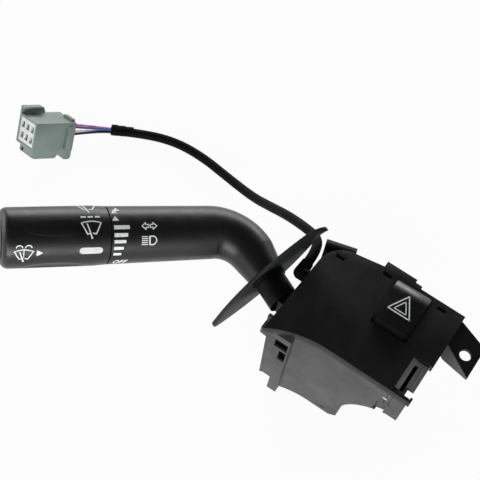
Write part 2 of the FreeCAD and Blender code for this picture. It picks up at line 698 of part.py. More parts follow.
def make_turn_carrier():
    """The cradle that tips on two trunnions along the column; the stalk's pin stands in it."""
    body = new_body("turn_carrier")
    top = "pivot_z + %s + carrier_gap + carrier_plate" % HALF_HUB
    low = "pivot_z - %s - carrier_gap - carrier_plate" % HALF_HUB
    outer = block("pivot_x - 6", "pivot_x + carrier_back", "pivot_y - (%s) - cheek_thick" % CHEEK,
                  "pivot_y + (%s) + cheek_thick" % CHEEK)
    pad(body, "frame", "XY_Plane", outer, low, "hub_height + 2 * carrier_gap + 2 * carrier_plate")
    room = block("pivot_y - (%s)" % CHEEK, "pivot_y + (%s)" % CHEEK,
                 "pivot_z - %s - carrier_gap" % HALF_HUB, "pivot_z + %s + carrier_gap" % HALF_HUB)
    cut(body, "room", "YZ_Plane", room, "pivot_x + (%s)" % CHEEK, "30")
    front = block("pivot_y - 20", "pivot_y + 20", "pivot_z - %s - carrier_gap" % HALF_HUB,
                  "pivot_z + %s + carrier_gap" % HALF_HUB)
    cut(body, "mouth", "YZ_Plane", front, "pivot_x - cheek_front", "30")
    bore(body, "pin_bore", "XY_Plane", "pivot_x", "pivot_y", "pin_radius + run_gap", top + " + 1", "all")
    rod(body, "front_trunnion", "XZ_Plane", "pivot_x", "pivot_z", "trunnion_radius",
        "-pivot_y + (%s) + 2" % CHEEK, "pivot_y - (%s) - 2 - trunnion_front" % CHEEK)
    rod(body, "rear_trunnion", "XZ_Plane", "pivot_x", "pivot_z", "trunnion_radius", "13.4",
        "-pivot_y - (%s) - 2 - 13.4" % CHEEK)
    arm = block("pivot_x + carrier_back - 1", "pivot_x + arm_reach", "pivot_z - 4", "pivot_z + 4")
    pad(body, "arm", "XZ_Plane", arm, "-pivot_y - arm_width / 2", "arm_width")
    bore(body, "plunger_bore", "YZ_Plane", "pivot_y", "pivot_z", "plunger_radius + run_gap",
         "pivot_x + arm_reach + 1", "13")
    rod(body, "drive_pin", "XZ_Plane", "pivot_x + drive_reach", "pivot_z", "drive_radius", "-4.6",
        "-pivot_y - arm_width / 2 + 4.6 + 0.5")
    return body


def make_detent_plunger():
    body = new_body("detent_plunger")
    length = "plunger_reach - 19"
    turn(body, "form", [("0", "0"), ("plunger_radius", "0"), ("plunger_radius", length + " - plunger_radius"),
                        ("0", length, "plunger_radius", "ccw")])
    body.Placement = Placement(Vector(val("pivot_x + 19"), val("pivot_y"), val("pivot_z")),
                               Rotation(Vector(0, 1, 0), 90))
    return body


def make_turn_slider():
    """The contact carriage on the board, moved by the carrier's drive pin in its slot."""
    body = new_body("turn_slider")
    form = block("pivot_x + drive_reach - 5", "pivot_x + drive_reach + 5", "pivot_z - 5", "pivot_z + 5")
    pad(body, "form", "XZ_Plane", form, "-board_face", "4")
    slot = block("pivot_x + drive_reach - 3", "pivot_x + drive_reach + 3",
                 "pivot_z - drive_radius - run_gap", "pivot_z + drive_radius + run_gap")
    cut(body, "slot", "XZ_Plane", slot, "6", "all")
    return body


def make_beam_pin():
    body = new_body("beam_pin")
    long = "hub_height + 2 * carrier_gap + 2 * carrier_plate"
    rod(body, "shank", "XY_Plane", "pivot_x", "pivot_y", "pin_radius", "pivot_z - (%s) / 2" % long, long)
    return body


make_turn_carrier()
make_detent_plunger()
spring_place = Placement(Vector(val("pivot_x + 14.4"), val("pivot_y"), val("pivot_z")),
                         Rotation(Vector(0, 1, 0), 90))
coil("detent_spring", "1.7", "0.3", "4.2", 4, spring_place)
make_turn_slider()
make_beam_pin()


# Directions along the neck and the stalk

def heading(yaw, pitch=0.0):
    a, b = math.radians(yaw), math.radians(pitch)
    return Vector(math.cos(a) * math.cos(b), math.sin(a) * math.cos(b), math.sin(b))


neck = heading(val("neck_yaw"))
stalk = heading(val("stalk_yaw"), val("stalk_pitch"))
base = Vector(val("neck_x"), val("neck_y"), val("pivot_z"))
corner = base + neck * val("bend_at")
bend = math.acos(neck.dot(stalk))
tangent = val("bend_radius") * math.tan(bend / 2)
joint = corner + stalk * val("stalk_length")
bend_in = corner - neck * tangent
bend_out = corner + stalk * tangent
bend_side = (stalk - neck * neck.dot(stalk)).normalize()
bend_centre = bend_in + bend_side * val("bend_radius")


def across(axis, place, start=Vector(0, 0, 1)):
    """The placement whose Z runs along axis and whose X is as near to start as it can be."""
    x_axis = (start - axis * axis.dot(start)).normalize()
    return spin(x_axis, axis.cross(x_axis), axis, place)


def bend_frame(angle, normal):
    """The cross-section of the bend at an angle from its neck end."""
    spoke = (bend_side * -1) * math.cos(angle) + neck * math.sin(angle)
    along = neck * math.cos(angle) + bend_side * math.sin(angle)
    place = bend_centre + spoke * val("bend_radius")
    return spin(normal.cross(along), normal, along, place)


def ring_sketch(body, name, placement, radius):
    """A circle on the XY plane's sketch, put at a placement of its own."""
    sketch = new_sketch(body, name, "XY_Plane")
    sketch.setExpression("AttachmentOffset.Base.z", None)
    sketch.AttachmentOffset = placement
    index = sketch.addGeometry(Part.Circle(Vector(0, 0, 0), Vector(0, 0, 1), val(radius)), False)
    sketch.addConstraint(Sketcher.Constraint("Coincident", index, 3, -1, 1))
    add_bound(sketch, "Radius", index, 0, radius, 1)
    return sketch


def stalk_sections(wall):
    """The circles that the neck, the elbow and the arm are lofted through, each as a list."""
    normal = neck.cross(bend_side).normalize()
    start = base + neck * (val("shield_at") + val("shield_thick") / 2 + 0.2)
    first = spin(normal.cross(neck), normal, neck, start)
    elbow = []
    steps = 7
    for i in range(steps):
        share = i / (steps - 1)
        radius = "elbow_neck_radius + (elbow_stalk_radius - elbow_neck_radius) * %.4f" % share
        elbow.append((bend_frame(bend * share, normal), radius))
    far = joint - stalk * (6.0 if wall != "0" else 0.0)
    last = spin(normal.cross(stalk), normal, stalk, far)
    return {"neck": [(first, "neck_radius"), elbow[0]], "elbow": elbow,
            "arm": [elbow[-1], (last, "joint_radius")]}


def loft_stalk(body, kind, name, wall):
    for part, rings in stalk_sections(wall).items():
        sections = [ring_sketch(body, "%s_%s%d" % (name, part, i), place, "%s - %s" % (radius, wall))
                    for i, (place, radius) in enumerate(rings)]
        loft(body, kind, "%s_%s_skin" % (name, part), sections)
        doc.recompute()


def loft(body, kind, name, sections):
    feature = body.newObject("PartDesign::" + kind, body.Name + "_" + name)
    feature.Profile = sections[0]
    feature.Sections = sections[1:]
    feature.Ruled = False
    return feature


def placed_rod(body, name, kind, placement, radius, length):
    sketch = ring_sketch(body, name, placement, radius)
    return extrude(body, kind, sketch, length, False)


def make_lever_hub():
    """The inner end of the stalk: a disc round the pin, a flat bar and the round barrel."""
    body = new_body("lever_hub")
    half = val("bar_width") / 2
    low = "pivot_z - hub_height / 2"
    rod(body, "disc", "XY_Plane", "pivot_x", "pivot_y", "hub_radius", low, "hub_height")
    pivot = Vector(val("pivot_x"), val("pivot_y"), 0)
    end = base + neck * 1.5
    end.z = 0
    way = (end - pivot).normalize()
    side = Vector(-way.y, way.x, 0) * half
    corners = [pivot + side, pivot - side, end - side, end + side]
    pad(body, "bar", "XY_Plane", [("%.4f" % q.x, "%.4f" % q.y) for q in corners], low, "hub_height")
    placed_rod(body, "barrel", "Pad", across(neck, base - neck * 1.0), "barrel_radius",
               "shield_at - shield_thick / 2 + 0.8")
    placed_rod(body, "flange", "Pad", across(neck, base + neck * val("shield_at - shield_thick / 2 - 1.8")),
               "barrel_radius + 1", "1.6")
    placed_rod(body, "spigot", "Pad", across(neck, base + neck * val("shield_at - 2")), "spigot_radius", "9")
    doc.recompute()
    placed_rod(body, "wire_bore", "Pocket", across(neck, base + neck * val("shield_at + 8")), "3.4",
               "shield_at + 3")
    bore(body, "pin_bore", "XY_Plane", "pivot_x", "pivot_y", "pin_radius", "30", "all")
    return body


def make_stalk_tube():
    """The bent, tapered and hollow stalk, with the journal that the knob turns on."""
    body = new_body("stalk_tube")
    loft_stalk(body, "AdditiveLoft", "outer", "0")
    loft_stalk(body, "SubtractiveLoft", "inner", "tube_wall")
    placed_rod(body, "journal", "Pad", across(stalk, joint - stalk * 1.0), "journal_radius", "journal_length + 1")
    doc.recompute()
    placed_rod(body, "journal_bore", "Pocket", across(stalk, joint + stalk * (val("journal_length") + 1)),
               "journal_bore", "journal_length + 9")
    ball = knob_frame(15.0)
    radial = spin(ball.Rotation.multVec(Vector(0, 1, 0)), ball.Rotation.multVec(Vector(0, 0, 1)),
                  ball.Rotation.multVec(Vector(1, 0, 0)), ball.Base)
    placed_rod(body, "ball_hole", "Pocket", radial.multiply(Placement(Vector(0, 0, 14), Rotation())), "1.6", "10")
    return body


def knob_frame(along):
    """The knob's own frame: Z along the stalk, X to the side that carries the symbols."""
    frame = across(stalk, joint + stalk * along)
    return frame.multiply(Placement(Vector(), Rotation(Vector(0, 0, 1), val("face_roll"))))


def make_shield():
    """The thin leaf on the neck, curled towards the case near its upper tip."""
    body = new_body("shield")
    half = val("shield_length") / 2
    thick = "shield_thick"
    start, curl = "shield_length * 0.38", "shield_curl"
    reach = "sqrt({0}^2 - ({0} - 5)^2)"
    tip = "%s + " % start + reach.format(curl)
    inner_tip = "%s + " % start + reach.format("(%s - %s)" % (curl, thick))
    strip = [("-shield_length / 2 - 1", "-%s / 2" % thick), (start, "-%s / 2" % thick),
             (inner_tip, "-%s / 2 - 5" % thick, "%s - %s" % (curl, thick), "cw"),
             (tip, "%s / 2 - 5" % thick),
             (start, "%s / 2" % thick, curl, "ccw"), ("-shield_length / 2 - 1", "%s / 2" % thick)]
    pad(body, "strip", "XZ_Plane", strip, "-20", "40")
    doc.recompute()
    sketch = new_sketch(body, "leaf", "XY_Plane", "20")
    draw(sketch, block("-60", "60", "-30", "30"))
    wide = "shield_width / 2"
    flank = "((shield_length / 2 - 2)^2 + (%s - 2)^2) / (2 * (%s - 2))" % (wide, wide)
    draw(sketch, [("shield_length / 2 - 2", "2", "2.2", "ccw"), ("2 - shield_length / 2", "2", flank, "ccw"),
                  ("2 - shield_length / 2", "-2", "2.2", "ccw"), ("shield_length / 2 - 2", "-2", flank, "ccw")])
    extrude(body, "Pocket", sketch, "all", False)
    bore(body, "neck_hole", "XY_Plane", "0", "0", "spigot_radius + fit_gap", "20", "all")
    tilt = math.radians(val("shield_tilt"))
    level = Vector(-neck.y, neck.x, 0) * -1
    along = level * math.cos(tilt) + Vector(0, 0, 1) * math.sin(tilt)
    body.Placement = spin(along, neck.cross(along), neck, base + neck * val("shield_at"))
    return body


def make_stalk_wires():
    """The four wires of the wiper switch, bundled inside the stalk."""
    start = base + neck * 6.0
    middle_dir = (bend_side * -1) * math.cos(bend / 2) + neck * math.sin(bend / 2)
    middle = bend_centre + middle_dir * val("bend_radius")
    end = joint + stalk * (val("journal_length") - 0.2)
    edges = [Part.LineSegment(start, bend_in).toShape(), Part.Arc(bend_in, middle, bend_out).toShape(),
             Part.LineSegment(bend_out, end).toShape()]
    feature = doc.addObject("Part::Feature", "stalk_wires")
    feature.Shape = swept(edges, 2.0, start, neck)
    nodes.append(feature)


def swept(edges, radius, start, direction):
    """A round tube along a path of edges."""
    profile = Part.Wire([Part.Circle(start, direction, radius).toShape()])
    return Part.Wire(edges).makePipeShell([profile], True, False)


make_lever_hub()
make_stalk_tube()
make_shield()
make_stalk_wires()


# Knob, washer button and the wiper switch in the stalk's end

def make_wiper_knob():
    body = new_body("wiper_knob")
    seat = "journal_radius + run_gap"
    far = "knob_length"
    mouth = "button_radius + button_gap"
    profile = [(seat, "knob_gap"), ("joint_radius - 0.3", "knob_gap"), ("joint_radius", "knob_gap + 0.4"),
               ("knob_radius", "7"), ("knob_radius", far + " - knob_round"),
               ("knob_radius - knob_round", far, "knob_round", "ccw"), (mouth, far),
               (mouth, far + " - 7"), ("knob_bore", far + " - 7"), ("knob_bore", "28"), (seat, "28"),
               (seat, "24"), ("knob_bore", "24"), ("knob_bore", "17"), ("knob_bore - 0.8", "16.5"),
               ("knob_bore - 0.8", "13.5"), ("knob_bore", "13"), ("knob_bore", "6"), (seat, "6")]
    turn(body, "form", profile)
    doc.recompute()
    egg = body.newObject("PartDesign::SubtractiveEllipsoid", "scallop")
    egg.Radius1 = 3.0
    egg.Radius2 = 6.6
    egg.Radius3 = 19.0
    egg.Angle1 = -90
    angle = math.radians(val("scallop_turn"))
    out = Vector(math.cos(angle), math.sin(angle), 0)
    side = Vector(0, 0, 1).cross(out)
    egg.AttachmentSupport = (origin_plane(body, "XY_Plane"), [""])
    egg.MapMode = "FlatFace"
    centre = out * (val("knob_radius") + 1.7) + Vector(0, 0, 27.5)
    egg.AttachmentOffset = spin(side, Vector(0, 0, 1), out, centre)
    doc.recompute()
    ring = body.newObject("PartDesign::PolarPattern", "scallops")
    ring.Originals = [egg]
    ring.Axis = (origin_axis(body, "Z_Axis"), [""])
    ring.Angle = 360
    ring.Occurrences = 4
    body.Tip = ring
    body.Placement = knob_frame(0.0)
    return body


def origin_axis(body, role):
    for feature in body.Origin.OriginFeatures:
        if feature.Role == role:
            return feature
    raise ValueError("no axis " + role)


def make_washer_button():
    body = new_body("washer_button")
    far = "knob_length + 0.6"
    turn(body, "form", [("0", "knob_length - 9"), ("button_radius + 1.4", "knob_length - 9"),
                        ("button_radius + 1.4", "knob_length - 7.3"), ("button_radius", "knob_length - 7.3"),
                        ("button_radius", far + " - 1.2"), ("button_radius - 1.2", far, "1.2", "ccw"),
                        ("8.4", far), ("0", far + " - 1.2", "30", "cw")])
    body.Placement = knob_frame(0.0)
    return body


def make_wiper_board():
    body = new_body("wiper_board")
    rod(body, "disc", "XY_Plane", "0", "0", "journal_radius - 0.2", "journal_length", "1.6")
    body.Placement = knob_frame(0.0)
    return body


def make_wiper_rotor():
    """The disc that the knob turns over the board, with three contact fingers."""
    body = new_body("wiper_rotor")
    rod(body, "disc", "XY_Plane", "0", "0", "knob_bore - fit_gap", "journal_length + 2", "2")
    finger = block("-1", "1", "4", "9")
    pad(body, "finger", "XY_Plane", finger, "journal_length + 1.7", "0.5")
    body.Placement = knob_frame(0.0)
    return body


def make_knob_detent():
    ball = doc.addObject("Part::Sphere", "knob_detent_ball")
    ball.Radius = 1.5
    frame = knob_frame(15.0)
    ball.Placement = frame.multiply(Placement(Vector(10.1, 0, 0), Rotation()))
    nodes.append(ball)
    body = new_body("knob_detent_spring")
    sketch = new_sketch(body, "band", "XY_Plane", "-1.5")
    draw(sketch, [("-5", "6.755"), ("-5", "-6.755", "8.404", "ccw"), ("-4.7", "-6.434"),
                  ("-4.7", "6.434", "7.968", "cw")])
    extrude(body, "Pad", sketch, "3", False)
    body.Placement = frame.multiply(Placement(Vector(), Rotation(Vector(0, 0, 1), 180)))


make_wiper_knob()
make_washer_button()
make_wiper_board()
make_wiper_rotor()
make_knob_detent()
coil("washer_spring", "5", "0.45", "5.2", 4, knob_frame(val("journal_length") + 4.5))


# Hazard switch

def make_hazard_button():
    """The cap; its far end slopes down like a rocker."""
    body = new_body("hazard_button")
    y0, y1 = "hazard_y - hazard_long / 2", "hazard_y + hazard_long / 2"
    profile = [(y0, "hazard_foot"), (y1, "hazard_foot"), (y1, "hazard_top - 4.2"),
               (y1 + " - 9", "hazard_top", "12", "ccw"), (y0, "hazard_top")]
    pad(body, "form", "YZ_Plane", profile, "hazard_x - hazard_wide / 2", "hazard_wide")
    doc.recompute()
    form = body.Tip
    edges = []
    for i, edge in enumerate(form.Shape.Edges, 1):
        box = edge.BoundBox
        if box.XLength < 0.01 and box.YLength < 0.01:
            edges.append("Edge%d" % i)
    round_off = body.newObject("PartDesign::Fillet", "hazard_corners")
    round_off.Base = (form, edges)
    round_off.Radius = 2.2
    doc.recompute()
    return body


def make_hazard_carriage():
    body = new_body("hazard_carriage")
    form = block("hazard_x - 6", "hazard_x + 6", "hazard_y - 9", "hazard_y + 9")
    pad(body, "form", "XY_Plane", form, "hazard_foot - carriage_height", "carriage_height")
    doc.recompute()
    bore(body, "post_room", "XY_Plane", "hazard_x", "hazard_y", "3", "hazard_foot - carriage_height - 1",
         "4.5", reverse=True)
    return body


make_hazard_button()
make_hazard_carriage()
spring_foot = "nose_bottom + case_wall + base_thick"
spring_high = "hazard_foot - carriage_height - (%s)" % spring_foot
coil("hazard_spring", "4.2", "0.5", spring_high + " - 1.1", 5,
     Placement(Vector(val("hazard_x"), val("hazard_y"), val(spring_foot) + 0.5), Rotation()))


# Cancel lever near the column

def make_cancel():
    body = new_body("cancel_lever")
    front = "case_front + (%s) + 0.3" % HOLLOW_INSET
    rod(body, "hub", "XZ_Plane", "cancel_x", "cancel_z", "3.4", "-(%s) - cancel_thick" % front, "cancel_thick")
    arm = [("cancel_x - 2", "cancel_z - 1"), ("cancel_x - 1.6", "cancel_z - cancel_reach + 1"),
           ("cancel_x", "cancel_z - cancel_reach"), ("cancel_x + 1.6", "cancel_z - cancel_reach + 1"),
           ("cancel_x + 2", "cancel_z - 1")]
    pad(body, "arm", "XZ_Plane", arm, "-(%s) - cancel_thick" % front, "cancel_thick")
    bore(body, "pin_bore", "XZ_Plane", "cancel_x", "cancel_z", "1.5 + run_gap", "60", "all")
    pin = new_body("cancel_pin")
    rod(pin, "shank", "XZ_Plane", "cancel_x", "cancel_z", "1.5", "-(%s) - cancel_thick - 3.5" % front,
        "cancel_thick + 3.5 + 0.3 + case_wall - 0.2")
    leaf = new_body("cancel_spring")
    rod(leaf, "eye", "XZ_Plane", "cancel_x", "cancel_z", "2.3", "-(%s) - cancel_thick - 2.2" % front, "2")
    pad(leaf, "leg", "XZ_Plane", block("cancel_x - 2.3", "cancel_x - 1.7", "cancel_z - 9", "cancel_z"),
        "-(%s) - cancel_thick - 2.2" % front, "2")
    bore(leaf, "pin_bore", "XZ_Plane", "cancel_x", "cancel_z", "1.5", "60", "all")


make_cancel()


# Harness: the lead's boot, the taped loom, four wires and the plug

def make_boot():
    """The rubber elbow that the lead comes out of."""
    x = val("case_left + (%s) - boot_radius - 0.2" % CASE_INSET)
    y, z, radius = val("outlet_y"), val("outlet_z"), val("boot_radius")
    through = doc.addObject("Part::Cylinder", "boot_through")
    bind(through, Radius="boot_radius", Height="case_wall + 5.5")
    through.Placement = Placement(Vector(x, y, z), Rotation(Vector(0, 1, 0), 90))
    elbow = doc.addObject("Part::Sphere", "boot_elbow")
    bind(elbow, Radius="boot_radius")
    elbow.Placement = Placement(Vector(x, y, z), Rotation())
    out = doc.addObject("Part::Cone", "boot_out")
    bind(out, Radius1="boot_radius", Radius2="loom_radius + 0.5", Height="7")
    out.Placement = Placement(Vector(x, y, z), Rotation(Vector(1, 0, 0), -90))
    print("boot ends at", x, y + 7, z)
    joined = doc.addObject("Part::MultiFuse", "lead_boot")
    joined.Shapes = [through, elbow, out]
    nodes.append(joined)
    return Vector(x, y + 7, z)


def rounded(points, name):
    """Straight runs joined by tangent arcs, each as large as its two runs allow."""
    edges = []
    last = points[0]
    radii = []
    for i in range(1, len(points) - 1):
        before, here, after = points[i - 1], points[i], points[i + 1]
        one, two = (before - here), (after - here)
        half = (math.pi - one.getAngle(two)) / 2
        reach = 0.45 * min(one.Length, two.Length)
        radii.append(reach / math.tan(half))
        start = here + one.normalize() * reach
        stop = here + two.normalize() * reach
        centre_way = (one + two).normalize()
        middle = here + centre_way * (radii[-1] / math.cos(half) - radii[-1])
        edges.append(Part.LineSegment(last, start).toShape())
        edges.append(Part.Arc(start, middle, stop).toShape())
        last = stop
    edges.append(Part.LineSegment(last, points[-1]).toShape())
    length = sum(edge.Length for edge in edges)
    print(name, "radii", [round(r, 1) for r in radii], "length", round(length, 1))
    return edges, length


def make_lead(name, points, radius):
    edges, length = rounded(points, name)
    shape = swept(edges, radius, points[0], (points[1] - points[0]).normalize())
    print(name, "volume", round(shape.Volume, 1), "of", round(math.pi * radius ** 2 * length, 1))
    feature = doc.addObject("Part::Feature", name)
    feature.Shape = shape
    nodes.append(feature)


LOOM_ROUTE = [
    (-91.5, -2.0, -4.0),
    (-91.5, 5.2, -4.0),
    (-94.8, 14.8, -7.4),
    (-105.5, 21.0, -15.8),
    (-119.8, 28.5, -29.0),
    (-133.0, 35.5, -44.0),
    (-148.0, 42.0, -58.0),
    (-168.0, 49.5, -68.5),
    (-192.0, 53.5, -70.3),
    (-212.0, 51.8, -70.2),
    (-231.2, 43.9, -70.3),
    (-245.0, 35.2, -69.6),
]
loom_start = make_boot()
make_lead("harness_loom", [Vector(*p) for p in LOOM_ROUTE], val("loom_radius"))


# Plug frame: rolled on its edge on the surface, front end up

plug_along = Vector(0.4413, 0.7617, -0.4745).normalize()
plug_up = Vector(-0.2247, 0.6057, 0.7633)
plug_up = (plug_up - plug_along * plug_up.dot(plug_along)).normalize()
plug_centre = Vector(-269.3, 4.1, -55.4)
plug_frame = spin(plug_along, plug_up.cross(plug_along), plug_up, plug_centre)


def make_plug():
    """The six way plug: X runs from its mating face to its wires, Z is its upper side."""
    half, wide, high = "plug_length / 2", "plug_width / 2", "plug_height / 2"
    body = new_body("plug_housing")
    pad(body, "shell", "YZ_Plane", block("-" + wide, wide, "-" + high, high), "-" + half, "plug_length")
    cut(body, "socket", "YZ_Plane", block("plug_wall - " + wide, wide + " - plug_wall", "plug_wall - " + high,
                                          high + " - plug_wall"), "10 - " + half, "12")
    cut(body, "wire_room", "YZ_Plane", block("2 - " + wide, wide + " - 2", "2 - " + high, high + " - 2"),
        "6 - " + half, "plug_length", reverse=True)
    rail = [(wide, high + " - 1"), (wide, high + " + 4.6"), (wide + " - 4.2", high + " + 4.6"),
            (wide + " - 4.2", high + " + 3.3"), (wide + " - 1.4", high + " + 3.3"), (wide + " - 1.4", high + " - 1")]
    pad(body, "guide_rail", "YZ_Plane", rail, "-" + half, "16")
    slant = [("12 - " + half, high + " + 5"), ("17 - " + half, high + " + 5"), ("17 - " + half, high + " + 0.4")]
    cut(body, "rail_end", "XZ_Plane", slant, "-(%s) - 1" % wide, "8", reverse=True)
    pad(body, "rear_rib", "YZ_Plane", block("2 - " + wide, "1.5", high + " - 0.5", high + " + 1.5"),
        half + " - 2.4", "2.4")
    panel = block("-" + wide + " - 0.9", "0.5 - " + wide, "2 - " + high, high + " - 2")
    pad(body, "side_panel", "YZ_Plane", panel, half + " - 5.4", "3.4")
    groove = block("-" + wide + " - 1", "0.8 - " + wide, "2 - " + high, high + " - 2")
    cut(body, "side_groove", "YZ_Plane", groove, half + " - 5.4", "1.2")
    lock = [("-" + half, "0.5 - " + high), ("-" + half, "-3.6 - " + high), ("2.5 - " + half, "-4.6 - " + high),
            ("2.5", "-4.6 - " + high), ("4", "-2.8 - " + high), ("4", "0.5 - " + high)]
    pad(body, "lock", "XZ_Plane", lock, "-4.5", wide + " + 4")
    leg = [("7.2", "0.5 - " + high), (half, "0.5 - " + high), (half, "-4.4 - " + high),
           (half + " - 1", "-5.6 - " + high), ("9", "-5.6 - " + high), ("8", "-3.4 - " + high)]
    pad(body, "leg", "XZ_Plane", leg, "0.5", wide + " - 1")
    cut(body, "lock_hole", "YZ_Plane", block("0.4", "3.2", "-3.2 - " + high, "-0.6 - " + high), "6 - " + half, "8")
    body.Placement = plug_frame
    insert = new_body("plug_insert")
    pad(insert, "form", "YZ_Plane", block("plug_wall + fit_gap - " + wide, wide + " - plug_wall - fit_gap",
                                          "plug_wall + fit_gap - " + high, high + " - plug_wall - fit_gap"),
        "0.4 - " + half, "5.4")
    for i in range(3):
        for j in range(2):
            y, z = "%s" % (5.0 * (i - 1)), "%s" % (6.4 * (j - 0.5))
            hole = block("%s - 1.7" % y, "%s + 1.7" % y, "%s - 1.9" % z, "%s + 1.9" % z)
            cut(insert, "cavity%d%d" % (i, j), "YZ_Plane", hole, "6.4 - " + half, "8")
    insert.Placement = plug_frame
    return body


WIRE_HOMES = {"wire_pink": (5.0, 3.2), "wire_blue": (0.0, 3.2), "wire_white": (5.0, -3.2), "wire_black": (0.0, -3.2)}


def make_plug_terminals():
    """One crimped contact on each wire, in its cavity."""
    contacts = []
    start = -val("plug_length") / 2 + 1.4
    for y, z in WIRE_HOMES.values():
        contacts.append(Part.makeBox(9.0, 2.2, 2.2, Vector(start, y - 1.1, z - 1.1)))
    feature = doc.addObject("Part::Feature", "plug_terminals")
    feature.Shape = Part.makeCompound(contacts)
    feature.Placement = plug_frame
    nodes.append(feature)


def make_wires():
    """Each wire runs from the tape's end into its own cavity."""
    loom_end = Vector(*LOOM_ROUTE[-1])
    loom_way = (loom_end - Vector(*LOOM_ROUTE[-2])).normalize()
    side = plug_up.cross(plug_along)
    side = (side - loom_way * loom_way.dot(side)).normalize()
    over = loom_way.cross(side)
    if over.dot(plug_up) < 0:
        over = over * -1
    contact_end = -val("plug_length") / 2 + 10.5
    for name, (y, z) in WIRE_HOMES.items():
        home = plug_frame.multVec(Vector(contact_end, y, z))
        across_home = home - plug_frame.multVec(Vector(contact_end, 2.5, 0))
        one = 0.85 if across_home.dot(side) > 0 else -0.85
        two = 0.85 if across_home.dot(over) > 0 else -0.85
        inside = loom_end + loom_way * 0.05 + side * one + over * two
        leaving = inside + loom_way * 5.0
        arriving = plug_frame.multVec(Vector(val("plug_length") / 2 + 1.5, 2.5 + (y - 2.5) * 0.9, z * 0.8))
        make_lead(name, [inside, leaving, arriving, home], val("wire_radius"))


make_plug()
make_plug_terminals()
make_wires()
doc.recompute()

# Check and write every piece

for thing in doc.Objects:
    bad = [state for state in thing.State if state in ("Invalid", "Error")]
    if bad:
        raise RuntimeError("%s is %s" % (thing.Label, bad))
os.makedirs("parts", exist_ok=True)
for node in nodes:
    if node.Shape.isNull() or not node.Shape.isValid():
        raise RuntimeError(node.Label + " has no valid shape")
    node.Shape.exportStep("parts/%s.step" % node.Label)
print(len(nodes), "nodes")
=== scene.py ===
"""Dressing of a combination stalk switch: moulded case, bent stalk, printed symbols and a taped lead."""

import json
import math

import bmesh
import bpy
from bpy.props import FloatProperty, FloatVectorProperty, PointerProperty
from mathutils import Matrix, Vector


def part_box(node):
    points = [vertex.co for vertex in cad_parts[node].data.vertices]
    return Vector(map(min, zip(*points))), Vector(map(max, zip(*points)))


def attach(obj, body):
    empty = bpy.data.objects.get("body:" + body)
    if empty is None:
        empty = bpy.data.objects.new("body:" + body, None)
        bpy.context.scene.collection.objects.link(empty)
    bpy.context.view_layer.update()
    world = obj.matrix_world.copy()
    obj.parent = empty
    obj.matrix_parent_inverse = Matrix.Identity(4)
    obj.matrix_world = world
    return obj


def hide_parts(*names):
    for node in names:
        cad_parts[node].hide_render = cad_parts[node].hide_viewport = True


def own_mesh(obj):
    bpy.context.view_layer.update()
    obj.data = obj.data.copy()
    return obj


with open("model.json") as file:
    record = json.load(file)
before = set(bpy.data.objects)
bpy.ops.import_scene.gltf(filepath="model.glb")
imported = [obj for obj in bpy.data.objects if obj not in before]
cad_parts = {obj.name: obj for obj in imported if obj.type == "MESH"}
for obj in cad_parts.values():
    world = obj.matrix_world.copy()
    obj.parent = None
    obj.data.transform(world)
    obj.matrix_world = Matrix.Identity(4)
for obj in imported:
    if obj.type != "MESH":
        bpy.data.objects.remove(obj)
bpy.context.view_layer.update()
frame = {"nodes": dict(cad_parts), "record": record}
NODES = frame["nodes"]

bl_info = {
    "name": "Combination stalk switch",
    "version": (1, 0, 0),
    "blender": (4, 5, 0),
    "location": "3D View > Sidebar > Stalk switch",
    "description": "Finishes, symbols, lead and studio for a steering column switch",
    "category": "Object",
}

MM = 0.001


def colour(name, text, default):
    return FloatVectorProperty(name=name, description=text, subtype="COLOR",
                               size=3, min=0, max=1, default=default)


def length(name, text, default):
    return FloatProperty(name=name, description=text, subtype="DISTANCE", unit="LENGTH",
                         default=default, precision=5)


# Sizes and colours

class SwitchFinish(bpy.types.PropertyGroup):
    """Colours of the mouldings, prints and wires"""
    cover: colour("Cover", "Grained cover over the switches", (0.005, 0.005, 0.0052))
    case: colour("Case", "Deep lower moulding", (0.042, 0.042, 0.0432))
    lever: colour("Lever", "Stalk and knob", (0.005, 0.005, 0.0052))
    shield: colour("Shield", "Thin leaf on the neck", (0.011, 0.0127, 0.0122))
    button: colour("Button", "Hazard button and inner black mouldings", (0.0022, 0.0022, 0.0024))
    print_white: colour("Print", "Ink of the symbols", (0.74, 0.8, 0.79))
    pill: colour("Index", "Index mark on the knob", (0.66, 0.65, 0.65))
    tape: colour("Tape", "Taped loom", (0.0035, 0.0035, 0.0035))
    pink: colour("Pink wire", "Insulation", (0.78, 0.2, 0.36))
    blue: colour("Blue wire", "Insulation", (0.03, 0.075, 0.32))
    white: colour("White wire", "Insulation", (0.72, 0.72, 0.75))
    plug: colour("Plug", "Outer shell of the plug", (0.165, 0.21, 0.19))
    insert: colour("Plug insert", "Terminal carrier in the plug's mouth", (0.58, 0.61, 0.6))


class SwitchSizes(bpy.types.PropertyGroup):
    """Sizes of what is added to the mouldings"""
    edge: length("Edge round", "Radius on the moulded edges", 0.00035)
    grain: length("Grain", "Pitch of the moulded grain", 0.0004)
    ink: length("Ink", "Height of the printed marks", 0.00007)
    loom: length("Loom radius", "Half the taped loom's width", 0.0027)
    wire: length("Wire radius", "Half a wire's width", 0.00075)
    lens: FloatProperty(name="Lens", description="Focal length in millimetres", default=85.35)


def finish():
    return bpy.context.scene.switch_finish


def sizes():
    return bpy.context.scene.switch_sizes


# Materials; the scale of a noise is in waves per metre

SHEEN_SPAN = 0.07
BLEND_HEIGHT = 0.001

# Sockets of a Mix node that carry colours

MIX_FIRST = 6
MIX_SECOND = 7
MIX_RESULT = 2


